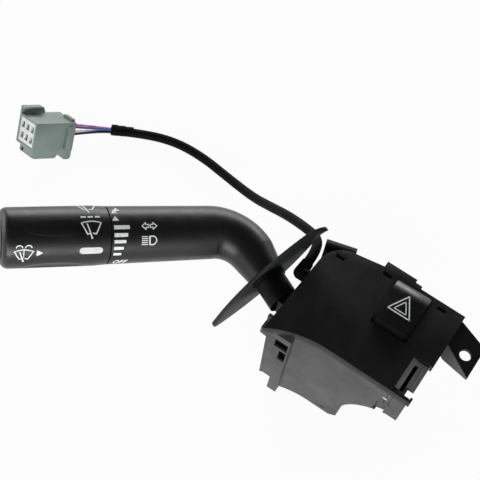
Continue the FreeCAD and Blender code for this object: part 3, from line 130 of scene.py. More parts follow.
def blank_material(name):
    """A material with its shader, its output and the object's own coordinates."""
    mat = bpy.data.materials.new(name)
    mat.use_nodes = True
    mat.node_tree.nodes.clear()
    nodes, links = mat.node_tree.nodes, mat.node_tree.links
    out = nodes.new("ShaderNodeOutputMaterial")
    shader = nodes.new("ShaderNodeBsdfPrincipled")
    links.new(shader.outputs["BSDF"], out.inputs["Surface"])
    place = nodes.new("ShaderNodeTexCoord")
    return mat, nodes, links, shader, place


def noise(nodes, links, place, scale, detail=2.0, rough=0.5, stretch=None):
    """Noise on the object's own coordinates, drawn out where a stretch is given."""
    source = place.outputs["Object"]
    if stretch:
        mapping = nodes.new("ShaderNodeMapping")
        mapping.inputs["Scale"].default_value = stretch
        links.new(source, mapping.inputs["Vector"])
        source = mapping.outputs["Vector"]
    tex = nodes.new("ShaderNodeTexNoise")
    tex.inputs["Scale"].default_value = scale
    tex.inputs["Detail"].default_value = detail
    tex.inputs["Roughness"].default_value = rough
    links.new(source, tex.inputs["Vector"])
    return tex


def join_values(nodes, links, operation, values):
    """The result of one operation over all the values."""
    total = values[0]
    for other in values[1:]:
        node = nodes.new("ShaderNodeMath")
        node.operation = operation
        links.new(total, node.inputs[0])
        links.new(other, node.inputs[1])
        total = node.outputs[0]
    return total


def map_range(nodes, links, value, start, stop, low=0.0, high=1.0):
    """A node that takes a value's range from start to stop onto low to high."""
    node = nodes.new("ShaderNodeMapRange")
    node.inputs["From Min"].default_value = start
    node.inputs["From Max"].default_value = stop
    node.inputs["To Min"].default_value = low
    node.inputs["To Max"].default_value = high
    links.new(value, node.inputs["Value"])
    return node


def uneven_colour(nodes, links, shader, tint, stray, pattern, start=0.35, stop=0.65):
    """A tint that strays by a share to either side, as a pattern goes."""
    low = tuple(max(c * (1 - stray), 0) for c in tint)
    high = tuple(min(c * (1 + stray), 1) for c in tint)
    tone = nodes.new("ShaderNodeValToRGB")
    for element, spot, shade in zip(tone.color_ramp.elements, (start, stop), (low, high)):
        element.position = spot
        element.color = (*shade, 1)
    links.new(pattern.outputs["Fac"], tone.inputs["Fac"])
    links.new(tone.outputs["Color"], shader.inputs["Base Color"])


def bump(nodes, links, shader, patterns, distance, strength):
    """One bump from the sum of the patterns."""
    heights = [pattern.outputs["Fac"] for pattern in patterns]
    node = nodes.new("ShaderNodeBump")
    node.inputs["Distance"].default_value = distance
    node.inputs["Strength"].default_value = strength
    links.new(join_values(nodes, links, "ADD", heights), node.inputs["Height"])
    links.new(node.outputs["Normal"], shader.inputs["Normal"])


def moulded_plastic(name, tint, rough, gloss, wear, depth, strength, fineness=1.0):
    """Moulded plastic: a fine spark grain, a slow change of sheen and light rubbing marks."""
    mat, nodes, links, shader, place = blank_material(name)
    grain = sizes().grain * fineness
    uneven_colour(nodes, links, shader, tint, wear, noise(nodes, links, place, 45, 3))
    rub = noise(nodes, links, place, 130, 5, 0.65)
    sheen = map_range(nodes, links, rub.outputs["Fac"], 0.3, 0.7, rough - SHEEN_SPAN, rough + SHEEN_SPAN)
    links.new(sheen.outputs["Result"], shader.inputs["Roughness"])
    shader.inputs["Specular IOR Level"].default_value = gloss
    fine = noise(nodes, links, place, 1 / grain, 2, 0.6)
    coarse = noise(nodes, links, place, 0.3 / grain, 1, 0.5)
    bump(nodes, links, shader, [fine, coarse], depth, strength)
    return mat


def painted_light_or_shade_on_top(name, side_tint, painted_top_tint, height_from, gloss):
    """Moulded plastic with another tone above a height, as painted light or painted shade on the top."""
    mat = moulded_plastic(name, side_tint, rough=0.5, gloss=gloss, wear=0.2, depth=0.00003, strength=0.5)
    nodes, links = mat.node_tree.nodes, mat.node_tree.links
    shader = next(n for n in nodes if n.type == "BSDF_PRINCIPLED")
    place = next(n for n in nodes if n.type == "TEX_COORD")
    tone = shader.inputs["Base Color"].links[0].from_socket
    split = nodes.new("ShaderNodeSeparateXYZ")
    links.new(place.outputs["Object"], split.inputs[0])
    height = map_range(nodes, links, split.outputs["Z"], height_from, height_from + BLEND_HEIGHT)
    mix = nodes.new("ShaderNodeMix")
    mix.data_type = "RGBA"
    links.new(height.outputs["Result"], mix.inputs["Factor"])
    links.new(tone, mix.inputs[MIX_FIRST])
    mix.inputs[MIX_SECOND].default_value = (*painted_top_tint, 1)
    links.new(mix.outputs[MIX_RESULT], shader.inputs["Base Color"])
    return mat


def printed_ink(name, tint):
    """Pad printed ink, a little uneven at its thin spots."""
    mat, nodes, links, shader, place = blank_material(name)
    spots = noise(nodes, links, place, 900, 2)
    uneven_colour(nodes, links, shader, tint, 0.08, spots, 0.3, 0.6)
    shader.inputs["Roughness"].default_value = 0.55
    return mat


def wound_tape(name, tint):
    """Cloth tape wound on the loom: overlapping turns, with a fine thread along them."""
    mat, nodes, links, shader, place = blank_material(name)
    cloud = noise(nodes, links, place, 220, 3)
    uneven_colour(nodes, links, shader, tint, 0.5, cloud, 0.35, 0.7)
    shader.inputs["Roughness"].default_value = 0.62
    shader.inputs["Specular IOR Level"].default_value = 0.06
    turns = nodes.new("ShaderNodeTexWave")
    turns.wave_profile = "SAW"
    turns.bands_direction = "DIAGONAL"
    turns.inputs["Scale"].default_value = 32
    turns.inputs["Distortion"].default_value = 1.2
    turns.inputs["Detail Scale"].default_value = 20
    links.new(place.outputs["Object"], turns.inputs["Vector"])
    thread = noise(nodes, links, place, 2400, 1)
    bump(nodes, links, shader, [turns, thread], 0.00022, 0.8)
    return mat


def soft_insulation(name, tint):
    """Thin wire insulation, smooth with faint handling marks."""
    mat, nodes, links, shader, place = blank_material(name)
    uneven_colour(nodes, links, shader, tint, 0.1, noise(nodes, links, place, 300, 2))
    shader.inputs["Roughness"].default_value = 0.38
    bump(nodes, links, shader, [noise(nodes, links, place, 1500, 2)], 0.00002, 0.5)
    return mat


def spring_steel(name, tint=(0.55, 0.55, 0.56), rough=0.28):
    """Drawn or pressed metal with fine lines."""
    mat, nodes, links, shader, place = blank_material(name)
    shader.inputs["Metallic"].default_value = 1.0
    lines = noise(nodes, links, place, 900, 2, 0.5, (1, 1, 0.1))
    uneven_colour(nodes, links, shader, tint, 0.12, lines)
    shader.inputs["Roughness"].default_value = rough
    bump(nodes, links, shader, [lines], 0.00002, 0.4)
    return mat


def coated_board(name):
    """Green lacquer over copper tracks."""
    mat, nodes, links, shader, place = blank_material(name)
    tracks = nodes.new("ShaderNodeTexBrick")
    tracks.inputs["Scale"].default_value = 160
    tracks.inputs["Color1"].default_value = (0.01, 0.12, 0.05, 1)
    tracks.inputs["Color2"].default_value = (0.015, 0.17, 0.07, 1)
    tracks.inputs["Mortar"].default_value = (0.03, 0.26, 0.1, 1)
    mapping = nodes.new("ShaderNodeMapping")
    mapping.inputs["Rotation"].default_value = (math.pi / 2, 0, 0)
    links.new(place.outputs["Object"], mapping.inputs["Vector"])
    links.new(mapping.outputs["Vector"], tracks.inputs["Vector"])
    links.new(tracks.outputs["Color"], shader.inputs["Base Color"])
    shader.inputs["Roughness"].default_value = 0.35
    bump(nodes, links, shader, [tracks], 0.00003, 0.5)
    return mat


# A tint made lighter by a factor, used for painted light.
def painted_lighter(tint, times):
    return tuple(c * times for c in tint)


def coat(thing, mat):
    """Give a piece one material in place of what it has."""
    thing.data.materials.clear()
    thing.data.materials.append(mat)


# Mesh helpers

MERGE_GAP = 1e-6
FLAT_ANGLE = math.radians(1)
SHARP_ANGLE = math.radians(28)
SMOOTH_ANGLE = math.radians(34)


def body_of(node):
    """The body that a node belongs to."""
    for body, members in frame["record"]["behaviour"]["bodies"].items():
        if node in members:
            return body
    raise ValueError(node + " is in no body")


def keep(mesh_form, name, mat, body):
    """Turn a bmesh into a finished object that rides on a body."""
    mesh = bpy.data.meshes.new(name)
    mesh_form.to_mesh(mesh)
    mesh_form.free()
    thing = bpy.data.objects.new(name, mesh)
    bpy.context.scene.collection.objects.link(thing)
    coat(thing, mat)
    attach(thing, body)
    return thing


def stand_for(node, form, name, mat):
    """Keep a bmesh as the piece that stands for a node."""
    thing = keep(form, name, mat, body_of(node))
    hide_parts(node)
    return thing


def merged_copy(node):
    """A node's mesh with its loose triangles joined."""
    form = bmesh.new()
    form.from_mesh(NODES[node].data)
    bmesh.ops.remove_doubles(form, verts=form.verts, dist=MERGE_GAP)
    return form


def softened(node, name, mat, width):
    """A copy of a moulding with its sharp edges rounded."""
    form = merged_copy(node)
    bmesh.ops.dissolve_limit(form, angle_limit=FLAT_ANGLE, verts=form.verts, edges=form.edges)
    sharp = [e for e in form.edges if len(e.link_faces) == 2 and e.calc_face_angle(0) > SHARP_ANGLE]
    bmesh.ops.bevel(form, geom=sharp, offset=width, offset_type="OFFSET", segments=2, profile=0.5,
                    affect="EDGES", clamp_overlap=True, material=-1)
    bmesh.ops.triangulate(form, faces=[f for f in form.faces if len(f.verts) > 4])
    for face in form.faces:
        face.smooth = True
    for edge in form.edges:
        edge.smooth = len(edge.link_faces) != 2 or edge.calc_face_angle(0) < SMOOTH_ANGLE
    return stand_for(node, form, name, mat)


# Stalk frame: where the knob begins, the way to its end, and the side that carries the symbols

STALK_JOINT = Vector((-0.181472, -0.053885, 0.002883))
STALK_WAY = Vector((-0.691397, -0.691397, 0.209619)).normalized()
FACE_WAY = Vector((0.466438, -0.205603, 0.860327))
FACE_WAY = (FACE_WAY - STALK_WAY * FACE_WAY.dot(STALK_WAY)).normalized()
LOW_WAY = Vector((0.551730, -0.692602, -0.464647))
LOW_WAY = (LOW_WAY - STALK_WAY * LOW_WAY.dot(STALK_WAY)
           - FACE_WAY * LOW_WAY.dot(FACE_WAY)).normalized()

# Skin of the stalk and knob, in millimetres, and how fast each widens from the joint between them

JOINT_RADIUS = 14.7
KNOB_RADIUS = 15.1
STALK_TAPER = 0.0144
KNOB_FLARE = 0.065
PRINT_GAP = 0.03


def skin_radius(along):
    """Radius of the stalk or knob in millimetres, at a distance from the joint between them."""
    if along < 0:
        return JOINT_RADIUS + along * STALK_TAPER
    return min(JOINT_RADIUS + along * KNOB_FLARE, KNOB_RADIUS)


def on_stalk(mark, along, around):
    """Wrap a flat mark, drawn in millimetres, round the stalk."""
    for vert in mark.verts:
        place = along - vert.co.x
        radius = skin_radius(place)
        turn = math.radians(around) - vert.co.y / radius
        side = FACE_WAY * math.cos(turn) + LOW_WAY * math.sin(turn)
        height = radius + vert.co.z + PRINT_GAP
        vert.co = STALK_JOINT + (STALK_WAY * place + side * height) * MM


# Flat marks, drawn in millimetres

CAPITAL_TO_SIZE = 1.4
LETTER_WIDTH = 0.72
CORNER_OVERLAP = 0.7
LONGEST_EDGE = 0.9
SPREAD_ROUNDS = 3


class Mark:
    """A printed symbol, put together from lines and filled shapes."""

    def __init__(self):
        self.form = bmesh.new()
        self.ink = sizes().ink / MM

    def area(self, points):
        """A filled outline."""
        verts = [self.form.verts.new((x, y, 0)) for x, y in points]
        face = self.form.faces.new(verts)
        face.normal_update()
        if face.normal.z < 0:
            face.normal_flip()
        grown = bmesh.ops.extrude_face_region(self.form, geom=[face])
        top = [v for v in grown["geom"] if isinstance(v, bmesh.types.BMVert)]
        bmesh.ops.translate(self.form, verts=top, vec=(0, 0, self.ink))

    def line(self, points, width):
        """A line of even width."""
        half = width / 2
        spots = [Vector(p) for p in points]
        for first, last in zip(spots, spots[1:]):
            way = (last - first).normalized()
            side = Vector((-way.y, way.x)) * half
            first, last = first - way * half * CORNER_OVERLAP, last + way * half * CORNER_OVERLAP
            self.area([first - side, last - side, last + side, first + side])

    def arc(self, centre, radius, start, stop, width, steps=8):
        """A line along part of a circle, from one angle to another in degrees."""
        x, y = centre
        angles = [math.radians(start + (stop - start) * i / steps) for i in range(steps + 1)]
        self.line([(x + radius * math.cos(a), y + radius * math.sin(a)) for a in angles], width)

    def spread(self):
        """Divide long faces, so that the mark can follow a round surface."""
        for _ in range(SPREAD_ROUNDS):
            long = [e for e in self.form.edges if e.calc_length() > LONGEST_EDGE]
            if not long:
                break
            bmesh.ops.subdivide_edges(self.form, edges=long, cuts=1, use_grid_fill=True)
        bmesh.ops.triangulate(self.form, faces=[f for f in self.form.faces if len(f.verts) > 4])
        return self.form


def filled(*outlines):
    """A mark of filled outlines."""
    mark = Mark()
    for points in outlines:
        mark.area(points)
    return mark


def wiper_mark(width, low, high, weight, nozzle=False):
    """A windscreen with its wiper; the screen widens upwards."""
    mark = Mark()
    half = width / 2
    foot = low + (high - low) * 0.22
    rim = [(-half + width * i / 6, high - 0.9 * ((2 * i / 6 - 1) ** 2)) for i in range(7)]
    mark.line(rim, weight)
    mark.line([rim[0], (-half * 0.45, foot)], weight)
    mark.line([rim[-1], (half * 0.45, foot)], weight)
    mark.line([(-half * 0.45, foot), (-half * 0.15, foot + 0.35)], weight)
    mark.line([(half * 0.45, foot), (half * 0.15, foot + 0.35)], weight)
    mark.line([(0, low), (-half * 0.42, high - 1.3)], weight * 1.05)
    mark.arc((0, low), 0.25, 0, 360, 0.5, 6)
    if nozzle:
        for side in (-1, 1):
            mark.arc((side * half * 0.48, high + 0.5), half * 0.36, 20, 160, weight)
        mark.line([(0, foot + 0.8), (0, high + 0.4)], 0.42)
    return mark


def dash_row():
    """Three short dashes in a row."""
    mark = Mark()
    for middle in (-3.5, 0, 3.5):
        mark.line([(middle - 0.95, 0), (middle + 0.95, 0)], 0.95)
    return mark


def index_pill():
    """The round ended bar that points at a setting."""
    turns = [math.radians(-90 + 22.5 * i) for i in range(9)]
    end = [(4.1 + 1.75 * math.cos(a), 1.75 * math.sin(a)) for a in turns]
    return filled(end + [(-x, -y) for x, y in end])


def speed_bar(high, wide):
    """One bar of the row that grows with the wiper's speed."""
    return filled([(0, -high / 2), (wide, -high / 2 + 0.1), (wide, high / 2 - 0.1), (0, high / 2)])


def double_pointer():
    """Two triangles, one behind the other."""
    middles = ((-0.8, -1.2), (0.7, 0.6))
    return filled(*([(x - 1.5, y - 1.3), (x + 1.5, y - 1.3), (x, y + 2.2)] for x, y in middles))


def turn_arrows():
    """The outlines of an arrow to each side."""
    mark = Mark()
    arrow = [(0.35, 0.75), (1.75, 0.75), (1.75, 1.75), (3.7, 0), (1.75, -1.75), (1.75, -0.75),
             (0.35, -0.75), (0.35, 0.75)]
    for way in (-1, 1):
        mark.line([(way * (x + 0.1), y) for x, y in arrow], 0.5)
    return mark


def lamp_mark():
    """A headlamp with five rays."""
    mark = Mark()
    mark.arc((1.5, 0), 2.2, -90, 90, 0.55, 10)
    mark.line([(1.5, 2.2), (0.1, 2.05), (0.1, -2.05), (1.5, -2.2)], 0.55)
    for i in range(5):
        mark.line([(-3.8, -2.0 + i), (-0.9, -2.0 + i)], 0.46)
    mark.area([(0.3, -2.0), (0.6, -2.0), (0.6, 2.0), (0.3, 2.0)])
    return mark


def text_mark(word, height):
    """A short word in plain capitals."""
    curve = bpy.data.curves.new("word", "FONT")
    curve.body = word
    curve.align_x = "CENTER"
    curve.align_y = "CENTER"
    curve.size = height * CAPITAL_TO_SIZE
    curve.offset = 0.09
    curve.space_character = 1.12
    curve.shear = 0.3
    curve.extrude = sizes().ink / MM
    holder = bpy.data.objects.new("word", curve)
    bpy.context.scene.collection.objects.link(holder)
    bpy.context.view_layer.update()
    mesh = bpy.data.meshes.new_from_object(holder)
    mark = Mark()
    mark.form.from_mesh(mesh)
    bmesh.ops.scale(mark.form, verts=mark.form.verts, vec=(LETTER_WIDTH, 1, 1))
    bpy.data.objects.remove(holder)
    return mark


# Operators

class SWITCH_OT_case(bpy.types.Operator):
    """Dress the cover, the case, its guide and latch"""
    bl_idname = "switch.case"
    bl_label = "Case"

    def execute(self, context):
        look, edge = finish(), sizes().edge
        cover = moulded_plastic("cover_grain", look.cover, rough=0.52, gloss=0.3, wear=0.3,
                                depth=0.00006, strength=0.7)
        # Above 0.3 mm the case, and the rear lug that shares it, is painted 3.4 times paler: painted light on
        # the top faces.
        case = painted_light_or_shade_on_top("case_grain_painted_top_light", look.case, painted_lighter(look.case, 3.4), height_from=0.0003, gloss=0.35)
        dark = moulded_plastic("dark_gloss", look.button, rough=0.3, gloss=0.25, wear=0.3,
                               depth=0.00001, strength=0.2)
        softened("upper_case", "cover_moulding", cover, edge)
        softened("lower_case", "case_moulding", case, edge * 0.7)
        # The ear's sides are painted 1.9 times paler than the case and its top as dark as the cover: painted
        # light on the sides and painted shade on the top.
        painted_ear = painted_light_or_shade_on_top("ear_grain_painted_light_shade", painted_lighter(look.case, 1.9), look.cover, height_from=-0.0012, gloss=0.15)
        coat(NODES["column_ear"], painted_ear)
        coat(NODES["rear_lug"], case)
        hood = moulded_plastic("hood_black", look.button, rough=0.42, gloss=0.07, wear=0.3,
                               depth=0.00002, strength=0.4)
        softened("harness_guide", "guide_moulding", hood, edge * 2.4)
        # The latch's black is its own colour; left without gloss, it also stands as painted shade in the
        # windows of the block.
        shade = moulded_plastic("latch_black_painted_shade", look.button, rough=0.7, gloss=0.0, wear=0.3,
                                depth=0.00002, strength=0.4)
        softened("side_latch", "latch_moulding", shade, edge * 0.5)
        softened("cancel_lever", "cancel_moulding", dark, edge * 0.5)
        return {"FINISHED"}


# Warning triangle on the hazard button, in millimetres: its middle, its corners,
# and for each of its two lines the share of its size and the line's width

TRIANGLE_MIDDLE = Vector((-38.15, -1.9))
TRIANGLE_CORNERS = (Vector((-38.3, 6.0)), Vector((-44.4, -5.4)), Vector((-32.0, -5.3)))
TRIANGLE_LINES = ((1.0, 0.6), (0.55, 0.5))

# The button's top is flat this far back and then falls away on this radius; the ink stands off by the gap

BUTTON_FLAT = 4.5
BUTTON_CURVE = 12
TRIANGLE_GAP = 0.01


class SWITCH_OT_hazard(bpy.types.Operator):
    """Dress the hazard button and print its triangle"""
    bl_idname = "switch.hazard"
    bl_label = "Hazard button"

    def execute(self, context):
        look = finish()
        gloss = moulded_plastic("button_gloss", look.button, rough=0.3, gloss=0.5, wear=0.3,
                                depth=0.00001, strength=0.2)
        softened("hazard_button", "button_moulding", gloss, sizes().edge * 1.6)
        ink = printed_ink("button_ink", look.print_white)
        mark = Mark()
        for share, width in TRIANGLE_LINES:
            ring = [TRIANGLE_MIDDLE + (p - TRIANGLE_MIDDLE) * share for p in TRIANGLE_CORNERS]
            mark.line(ring + [ring[0]], width)
        form = mark.spread()
        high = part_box("hazard_button")[1].z / MM
        for vert in form.verts:
            beyond = max(vert.co.y - BUTTON_FLAT, 0)
            drop = BUTTON_CURVE - math.sqrt(BUTTON_CURVE ** 2 - beyond ** 2)
            vert.co = Vector((vert.co.x, vert.co.y, high - drop + vert.co.z + TRIANGLE_GAP)) * MM
        sign = keep(form, "hazard_triangle", ink, "hazard")
        return {"FINISHED"}


class SWITCH_OT_lever(bpy.types.Operator):
    """Dress the stalk, its shield, the knob and the washer button"""
    bl_idname = "switch.lever"
    bl_label = "Lever"

    def execute(self, context):
        look, edge = finish(), sizes().edge
        satin = moulded_plastic("lever_satin", look.lever, rough=0.36, gloss=0.4, wear=0.2,
                                depth=0.00003, strength=0.5, fineness=0.7)
        leaf = moulded_plastic("shield_satin", look.shield, rough=0.45, gloss=0.22, wear=0.2,
                               depth=0.00003, strength=0.5, fineness=0.7)
        cap = moulded_plastic("washer_cap", look.button, rough=0.42, gloss=0.3, wear=0.2,
                              depth=0.00002, strength=0.3)
        hub = moulded_plastic("hub_black", look.button, rough=0.45, gloss=0.12, wear=0.3,
                              depth=0.00002, strength=0.3)
        coat(NODES["stalk_tube"], satin)
        coat(NODES["wiper_knob"], satin)
        coat(NODES["lever_hub"], hub)
        softened("shield", "shield_leaf", leaf, edge * 1.5)
        softened("washer_button", "washer_moulding", cap, edge)
        return {"FINISHED"}


# Speed bars on the stalk: each one's angle round it in degrees, its height and its width

SPEED_BARS = ((-14.8, 2.1, 7.9), (0.4, 2.0, 6.9), (13.3, 1.75, 6.0), (26.8, 1.7, 4.9), (40.3, 1.6, 4.0))


class SWITCH_OT_symbols(bpy.types.Operator):
    """Print the symbols on the knob and on the stalk"""
    bl_idname = "switch.symbols"
    bl_label = "Symbols"

    def execute(self, context):
        look = finish()
        ink = printed_ink("symbol_ink", look.print_white)
        pale = printed_ink("index_ink", look.pill)
        for body, marks in (("knob", self.knob_marks(ink, pale)), ("stalk", self.lever_marks(ink))):
            for name, mark, along, around, mat in marks:
                form = mark.spread()
                on_stalk(form, along, around)
                thing = keep(form, name, mat, body)
        return {"FINISHED"}

    def knob_marks(self, ink, pale):
        """Name, mark, distance from the joint, angle round the knob and ink of each mark."""
        return [
            ("mark_wiper", wiper_mark(9.8, -4.9, 3.5, 0.62), 10.2, -14.5, ink),
            ("mark_washer", wiper_mark(9.2, -4.6, 2.2, 0.56, nozzle=True), 43.3, 31.5, ink),
            ("mark_dashes", dash_row(), 10.2, -37.5, ink),
            ("mark_push", filled([(-1.5, -1.7), (1.6, 0), (-1.5, 1.7)]), 35.6, 30.8, ink),
            ("mark_wash_wipe", wiper_mark(9.4, -5.2, 3.6, 0.6), 10.4, -69.5, ink),
            ("mark_index", index_pill(), 10.4, 29.0, pale),
        ]

    def lever_marks(self, ink):
        """Name, mark, distance from the joint, angle round the stalk and ink of each mark."""
        bars = [("mark_bar_%d" % (i + 1), speed_bar(high, wide), -1.1, around, ink)
                for i, (around, high, wide) in enumerate(SPEED_BARS)]
        return bars + [
            ("mark_fast_pointer", filled([(-1.75, -1.35), (1.75, -1.35), (0, 1.45)]), -2.3, -34.0, ink),
            ("mark_fast", double_pointer(), -3.2, -56.5, ink),
            ("mark_turn", turn_arrows(), -19.2, -16.3, ink),
            ("mark_beam", lamp_mark(), -19.0, 12.8, ink),
            ("mark_off", text_mark("OFF", 3.7), -5.2, 67.0, ink),
        ]


# Lead: route of the taped loom and of each wire, in millimetres

LOOM_ROUTE = (
    (-91.5, -2.0, -4.0), (-91.5, 5.2, -4.0), (-94.8, 14.8, -7.4), (-105.5, 21.0, -15.8),
    (-119.8, 28.5, -29.0), (-133.0, 35.5, -44.0), (-148.0, 42.0, -58.0), (-168.0, 49.5, -68.5),
    (-192.0, 53.5, -70.3), (-212.0, 51.8, -70.2), (-231.2, 43.9, -70.3), (-245.0, 35.2, -69.6),
)
WIRE_ROUTES = {
    "wire_pink": ((-245.7, 36.2, -69.4), (-249.9, 33.5, -69.2), (-258.5, 26.6, -66.4), (-267.4, 18.2, -62.4),
                  (-275.7, 4.9, -53.7)),
    "wire_blue": ((-244.9, 35.0, -68.4), (-249.1, 32.4, -68.2), (-256.3, 25.2, -65.0), (-263.5, 17.1, -60.5),
                  (-271.3, 3.8, -51.5)),
    "wire_white": ((-245.2, 35.3, -70.8), (-249.4, 32.7, -70.6), (-258.0, 24.6, -69.2), (-266.2, 15.1, -66.4),
                   (-274.2, 1.0, -58.6)),
    "wire_black": ((-244.4, 34.2, -69.8), (-248.6, 31.5, -69.6), (-255.6, 23.4, -67.5), (-262.3, 14.0, -64.4),
                   (-269.9, -0.1, -56.4)),
}

# Loose end of the tape, in millimetres: the way the loom runs there, how far before the loom's end it
# starts, how far it stands off, and each ring's distance along and radius

TAPE_WAY = Vector((-13.8, -8.7, 0.7)).normalized()
TAPE_BACK = 13
TAPE_LIFT = 0.1
TAPE_SIDES = 24
TAPE_RINGS = ((0, 2.8), (0.4, 3.05), (5.0, 3.0), (5.2, 3.25),
              (9.6, 3.15), (9.8, 3.4), (13.4, 3.3), (13.7, 2.4))


def smooth_cord(name, route, radius, mat):
    """A round cord along a route in millimetres, which rides on the case."""
    curve = bpy.data.curves.new(name, "CURVE")
    curve.dimensions = "3D"
    curve.bevel_depth = radius
    curve.bevel_resolution = 6
    curve.use_fill_caps = True
    curve.resolution_u = 10
    spline = curve.splines.new("NURBS")
    spline.points.add(len(route) - 1)
    for point, spot in zip(spline.points, route):
        point.co = (spot[0] * MM, spot[1] * MM, spot[2] * MM, 1)
    spline.order_u = 3
    spline.use_endpoint_u = True
    thing = bpy.data.objects.new(name, curve)
    bpy.context.scene.collection.objects.link(thing)
    coat(thing, mat)
    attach(thing, "case")
    return thing


class SWITCH_OT_lead(bpy.types.Operator):
    """Lay the taped loom and its four wires, and dress the plug"""
    bl_idname = "switch.lead"
    bl_label = "Lead and plug"

    def execute(self, context):
        look, size = finish(), sizes()
        tape = wound_tape("loom_tape", look.tape)
        rubber = moulded_plastic("boot_rubber", look.tape, rough=0.6, gloss=0.05, wear=0.3,
                                 depth=0.00002, strength=0.4)
        coat(NODES["lead_boot"], rubber)
        plug = self.plug(look, size)
        loom = smooth_cord("taped_loom", LOOM_ROUTE, size.loom, tape)
        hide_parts("harness_loom")
        cuff = self.tape_end(tape, size)
        for node, tint in (("wire_pink", look.pink), ("wire_blue", look.blue), ("wire_white", look.white),
                           ("wire_black", look.tape)):
            skin = soft_insulation(node + "_skin", tint)
            wire = smooth_cord(node + "_strand", WIRE_ROUTES[node], size.wire, skin)
            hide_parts(node)
        return {"FINISHED"}

    def tape_end(self, tape, size):
        """The last turns of tape, wound loosely, stand off the loom in ragged steps."""
        start = Vector(LOOM_ROUTE[-1]) - TAPE_WAY * TAPE_BACK
        side = TAPE_WAY.cross(Vector((0, 0, 1))).normalized()
        high = side.cross(TAPE_WAY)
        angles = [math.tau * i / TAPE_SIDES for i in range(TAPE_SIDES)]
        form = bmesh.new()
        loops = []
        for along, radius in TAPE_RINGS:
            lift = max(radius - size.loom / MM, 0) + TAPE_LIFT
            middle = start + TAPE_WAY * along + high * lift
            loops.append([form.verts.new((middle + (side * math.cos(a) + high * math.sin(a)) * radius) * MM)
                          for a in angles])
        edges = [[form.edges.new((loop[i], loop[i - 1])) for i in range(TAPE_SIDES)] for loop in loops]
        for first, last in zip(edges, edges[1:]):
            bmesh.ops.bridge_loops(form, edges=first + last)
        for loop in (loops[0], loops[-1]):
            form.faces.new(loop)
        bmesh.ops.recalc_face_normals(form, faces=form.faces)
        for face in form.faces:
            face.smooth = len(face.verts) == 4
        cuff = keep(form, "tape_cuff", tape, "case")
        return cuff

    def plug(self, look, size):
        """Dress the plug and its insert; returns the pieces on the loom's end."""
        shell = moulded_plastic("plug_shell", look.plug, rough=0.42, gloss=0.5, wear=0.12,
                                depth=0.00001, strength=0.25)
        insert = moulded_plastic("plug_carrier", look.insert, rough=0.4, gloss=0.5, wear=0.08,
                                 depth=0.00001, strength=0.2)
        coat(NODES["plug_terminals"], spring_steel("tinned_brass", (0.16, 0.15, 0.13), 0.4))
        housing = softened("plug_housing", "plug_moulding", shell, size.edge * 0.8)
        carrier = softened("plug_insert", "insert_moulding", insert, size.edge * 0.5)
        return [housing, carrier, NODES["plug_terminals"]]


class SWITCH_OT_inner(bpy.types.Operator):
    """Finish the pieces held in the case and in the stalk"""
    bl_idname = "switch.inner"
    bl_label = "Inner pieces"

    def execute(self, context):
        pale = moulded_plastic("inner_plastic", (0.6, 0.58, 0.53), rough=0.4, gloss=0.5, wear=0.08,
                               depth=0.00001, strength=0.2)
        steel = spring_steel("spring_wire")
        tin = spring_steel("tinned_blades", (0.62, 0.58, 0.48), 0.3)
        board = coated_board("board_lacquer")
        dark = moulded_plastic("wire_bundle", (0.01, 0.01, 0.01), rough=0.55, gloss=0.4, wear=0.2,
                               depth=0.00001, strength=0.2)
        for name in ("switch_base", "detent_cam", "turn_carrier", "detent_plunger", "turn_slider",
                     "wiper_rotor", "hazard_carriage"):
            coat(NODES[name], pale)
        for name in ("board_screws", "detent_spring", "beam_pin", "knob_detent_ball", "knob_detent_spring",
                     "washer_spring", "hazard_spring", "cancel_pin", "cancel_spring"):
            coat(NODES[name], steel)
        self.button_spring(steel)
        coat(NODES["header_terminals"], tin)
        coat(NODES["circuit_board"], board)
        coat(NODES["wiper_board"], board)
        coat(NODES["stalk_wires"], dark)
        return {"FINISHED"}

    def button_spring(self, steel):
        """A smooth copy of the spring under the hazard button, with a mesh of its own."""
        form = merged_copy("hazard_spring")
        for face in form.faces:
            face.smooth = True
        coils = stand_for("hazard_spring", form, "button_spring", steel)
        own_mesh(coils)


# Stage: the camera's place and directions, the floor, the lamps and the room that a gloss sees

CAMERA_PLACE = (-0.0145, -0.2635, 0.5136)
CAMERA_RIGHT = Vector((0.8255, 0.557, 0.0915))
CAMERA_UP = Vector((-0.531, 0.7112, 0.4608))
CAMERA_BACK = Vector((0.1916, -0.429, 0.8828))
FLOOR_GAP = 0.0001
FLOOR_SHARE = 0.94
CEILING_FROM = 0.2
CEILING_TO = 0.68
CEILING_DIM = 0.08
WORLD_STRENGTH = 0.3
LIT_MIDDLE = Vector((-0.1, -0.01, -0.02))
SOFT_BOXES = (
    ("front_softbox", Vector((0.2, -0.6, 0.1)), (0.9, 0.3), 5.0),
    ("back_softbox", Vector((-0.3, 0.6, 0.14)), (0.9, 0.3), 3.8),
    ("side_softbox", Vector((-0.65, -0.15, 0.12)), (0.5, 0.25), 1.5),
)


def seen_directly(nodes, links):
    """1 where the eye, a gloss or clear stuff sees the backdrop, and 0 where it only lights things."""
    rays = nodes.new("ShaderNodeLightPath")
    kinds = ("Is Camera Ray", "Is Glossy Ray", "Is Transmission Ray")
    return join_values(nodes, links, "MAXIMUM", [rays.outputs[kind] for kind in kinds])


def soft_box(name, place, size, power):
    """A broad lamp that faces the middle of the switch."""
    light = bpy.data.lights.new(name, "AREA")
    light.shape = "RECTANGLE"
    light.size = size[0]
    light.size_y = size[1]
    light.energy = power
    lamp = bpy.data.objects.new(name, light)
    lamp.location = place
    lamp.rotation_euler = (LIT_MIDDLE - place).to_track_quat("-Z", "Y").to_euler()
    bpy.context.scene.collection.objects.link(lamp)


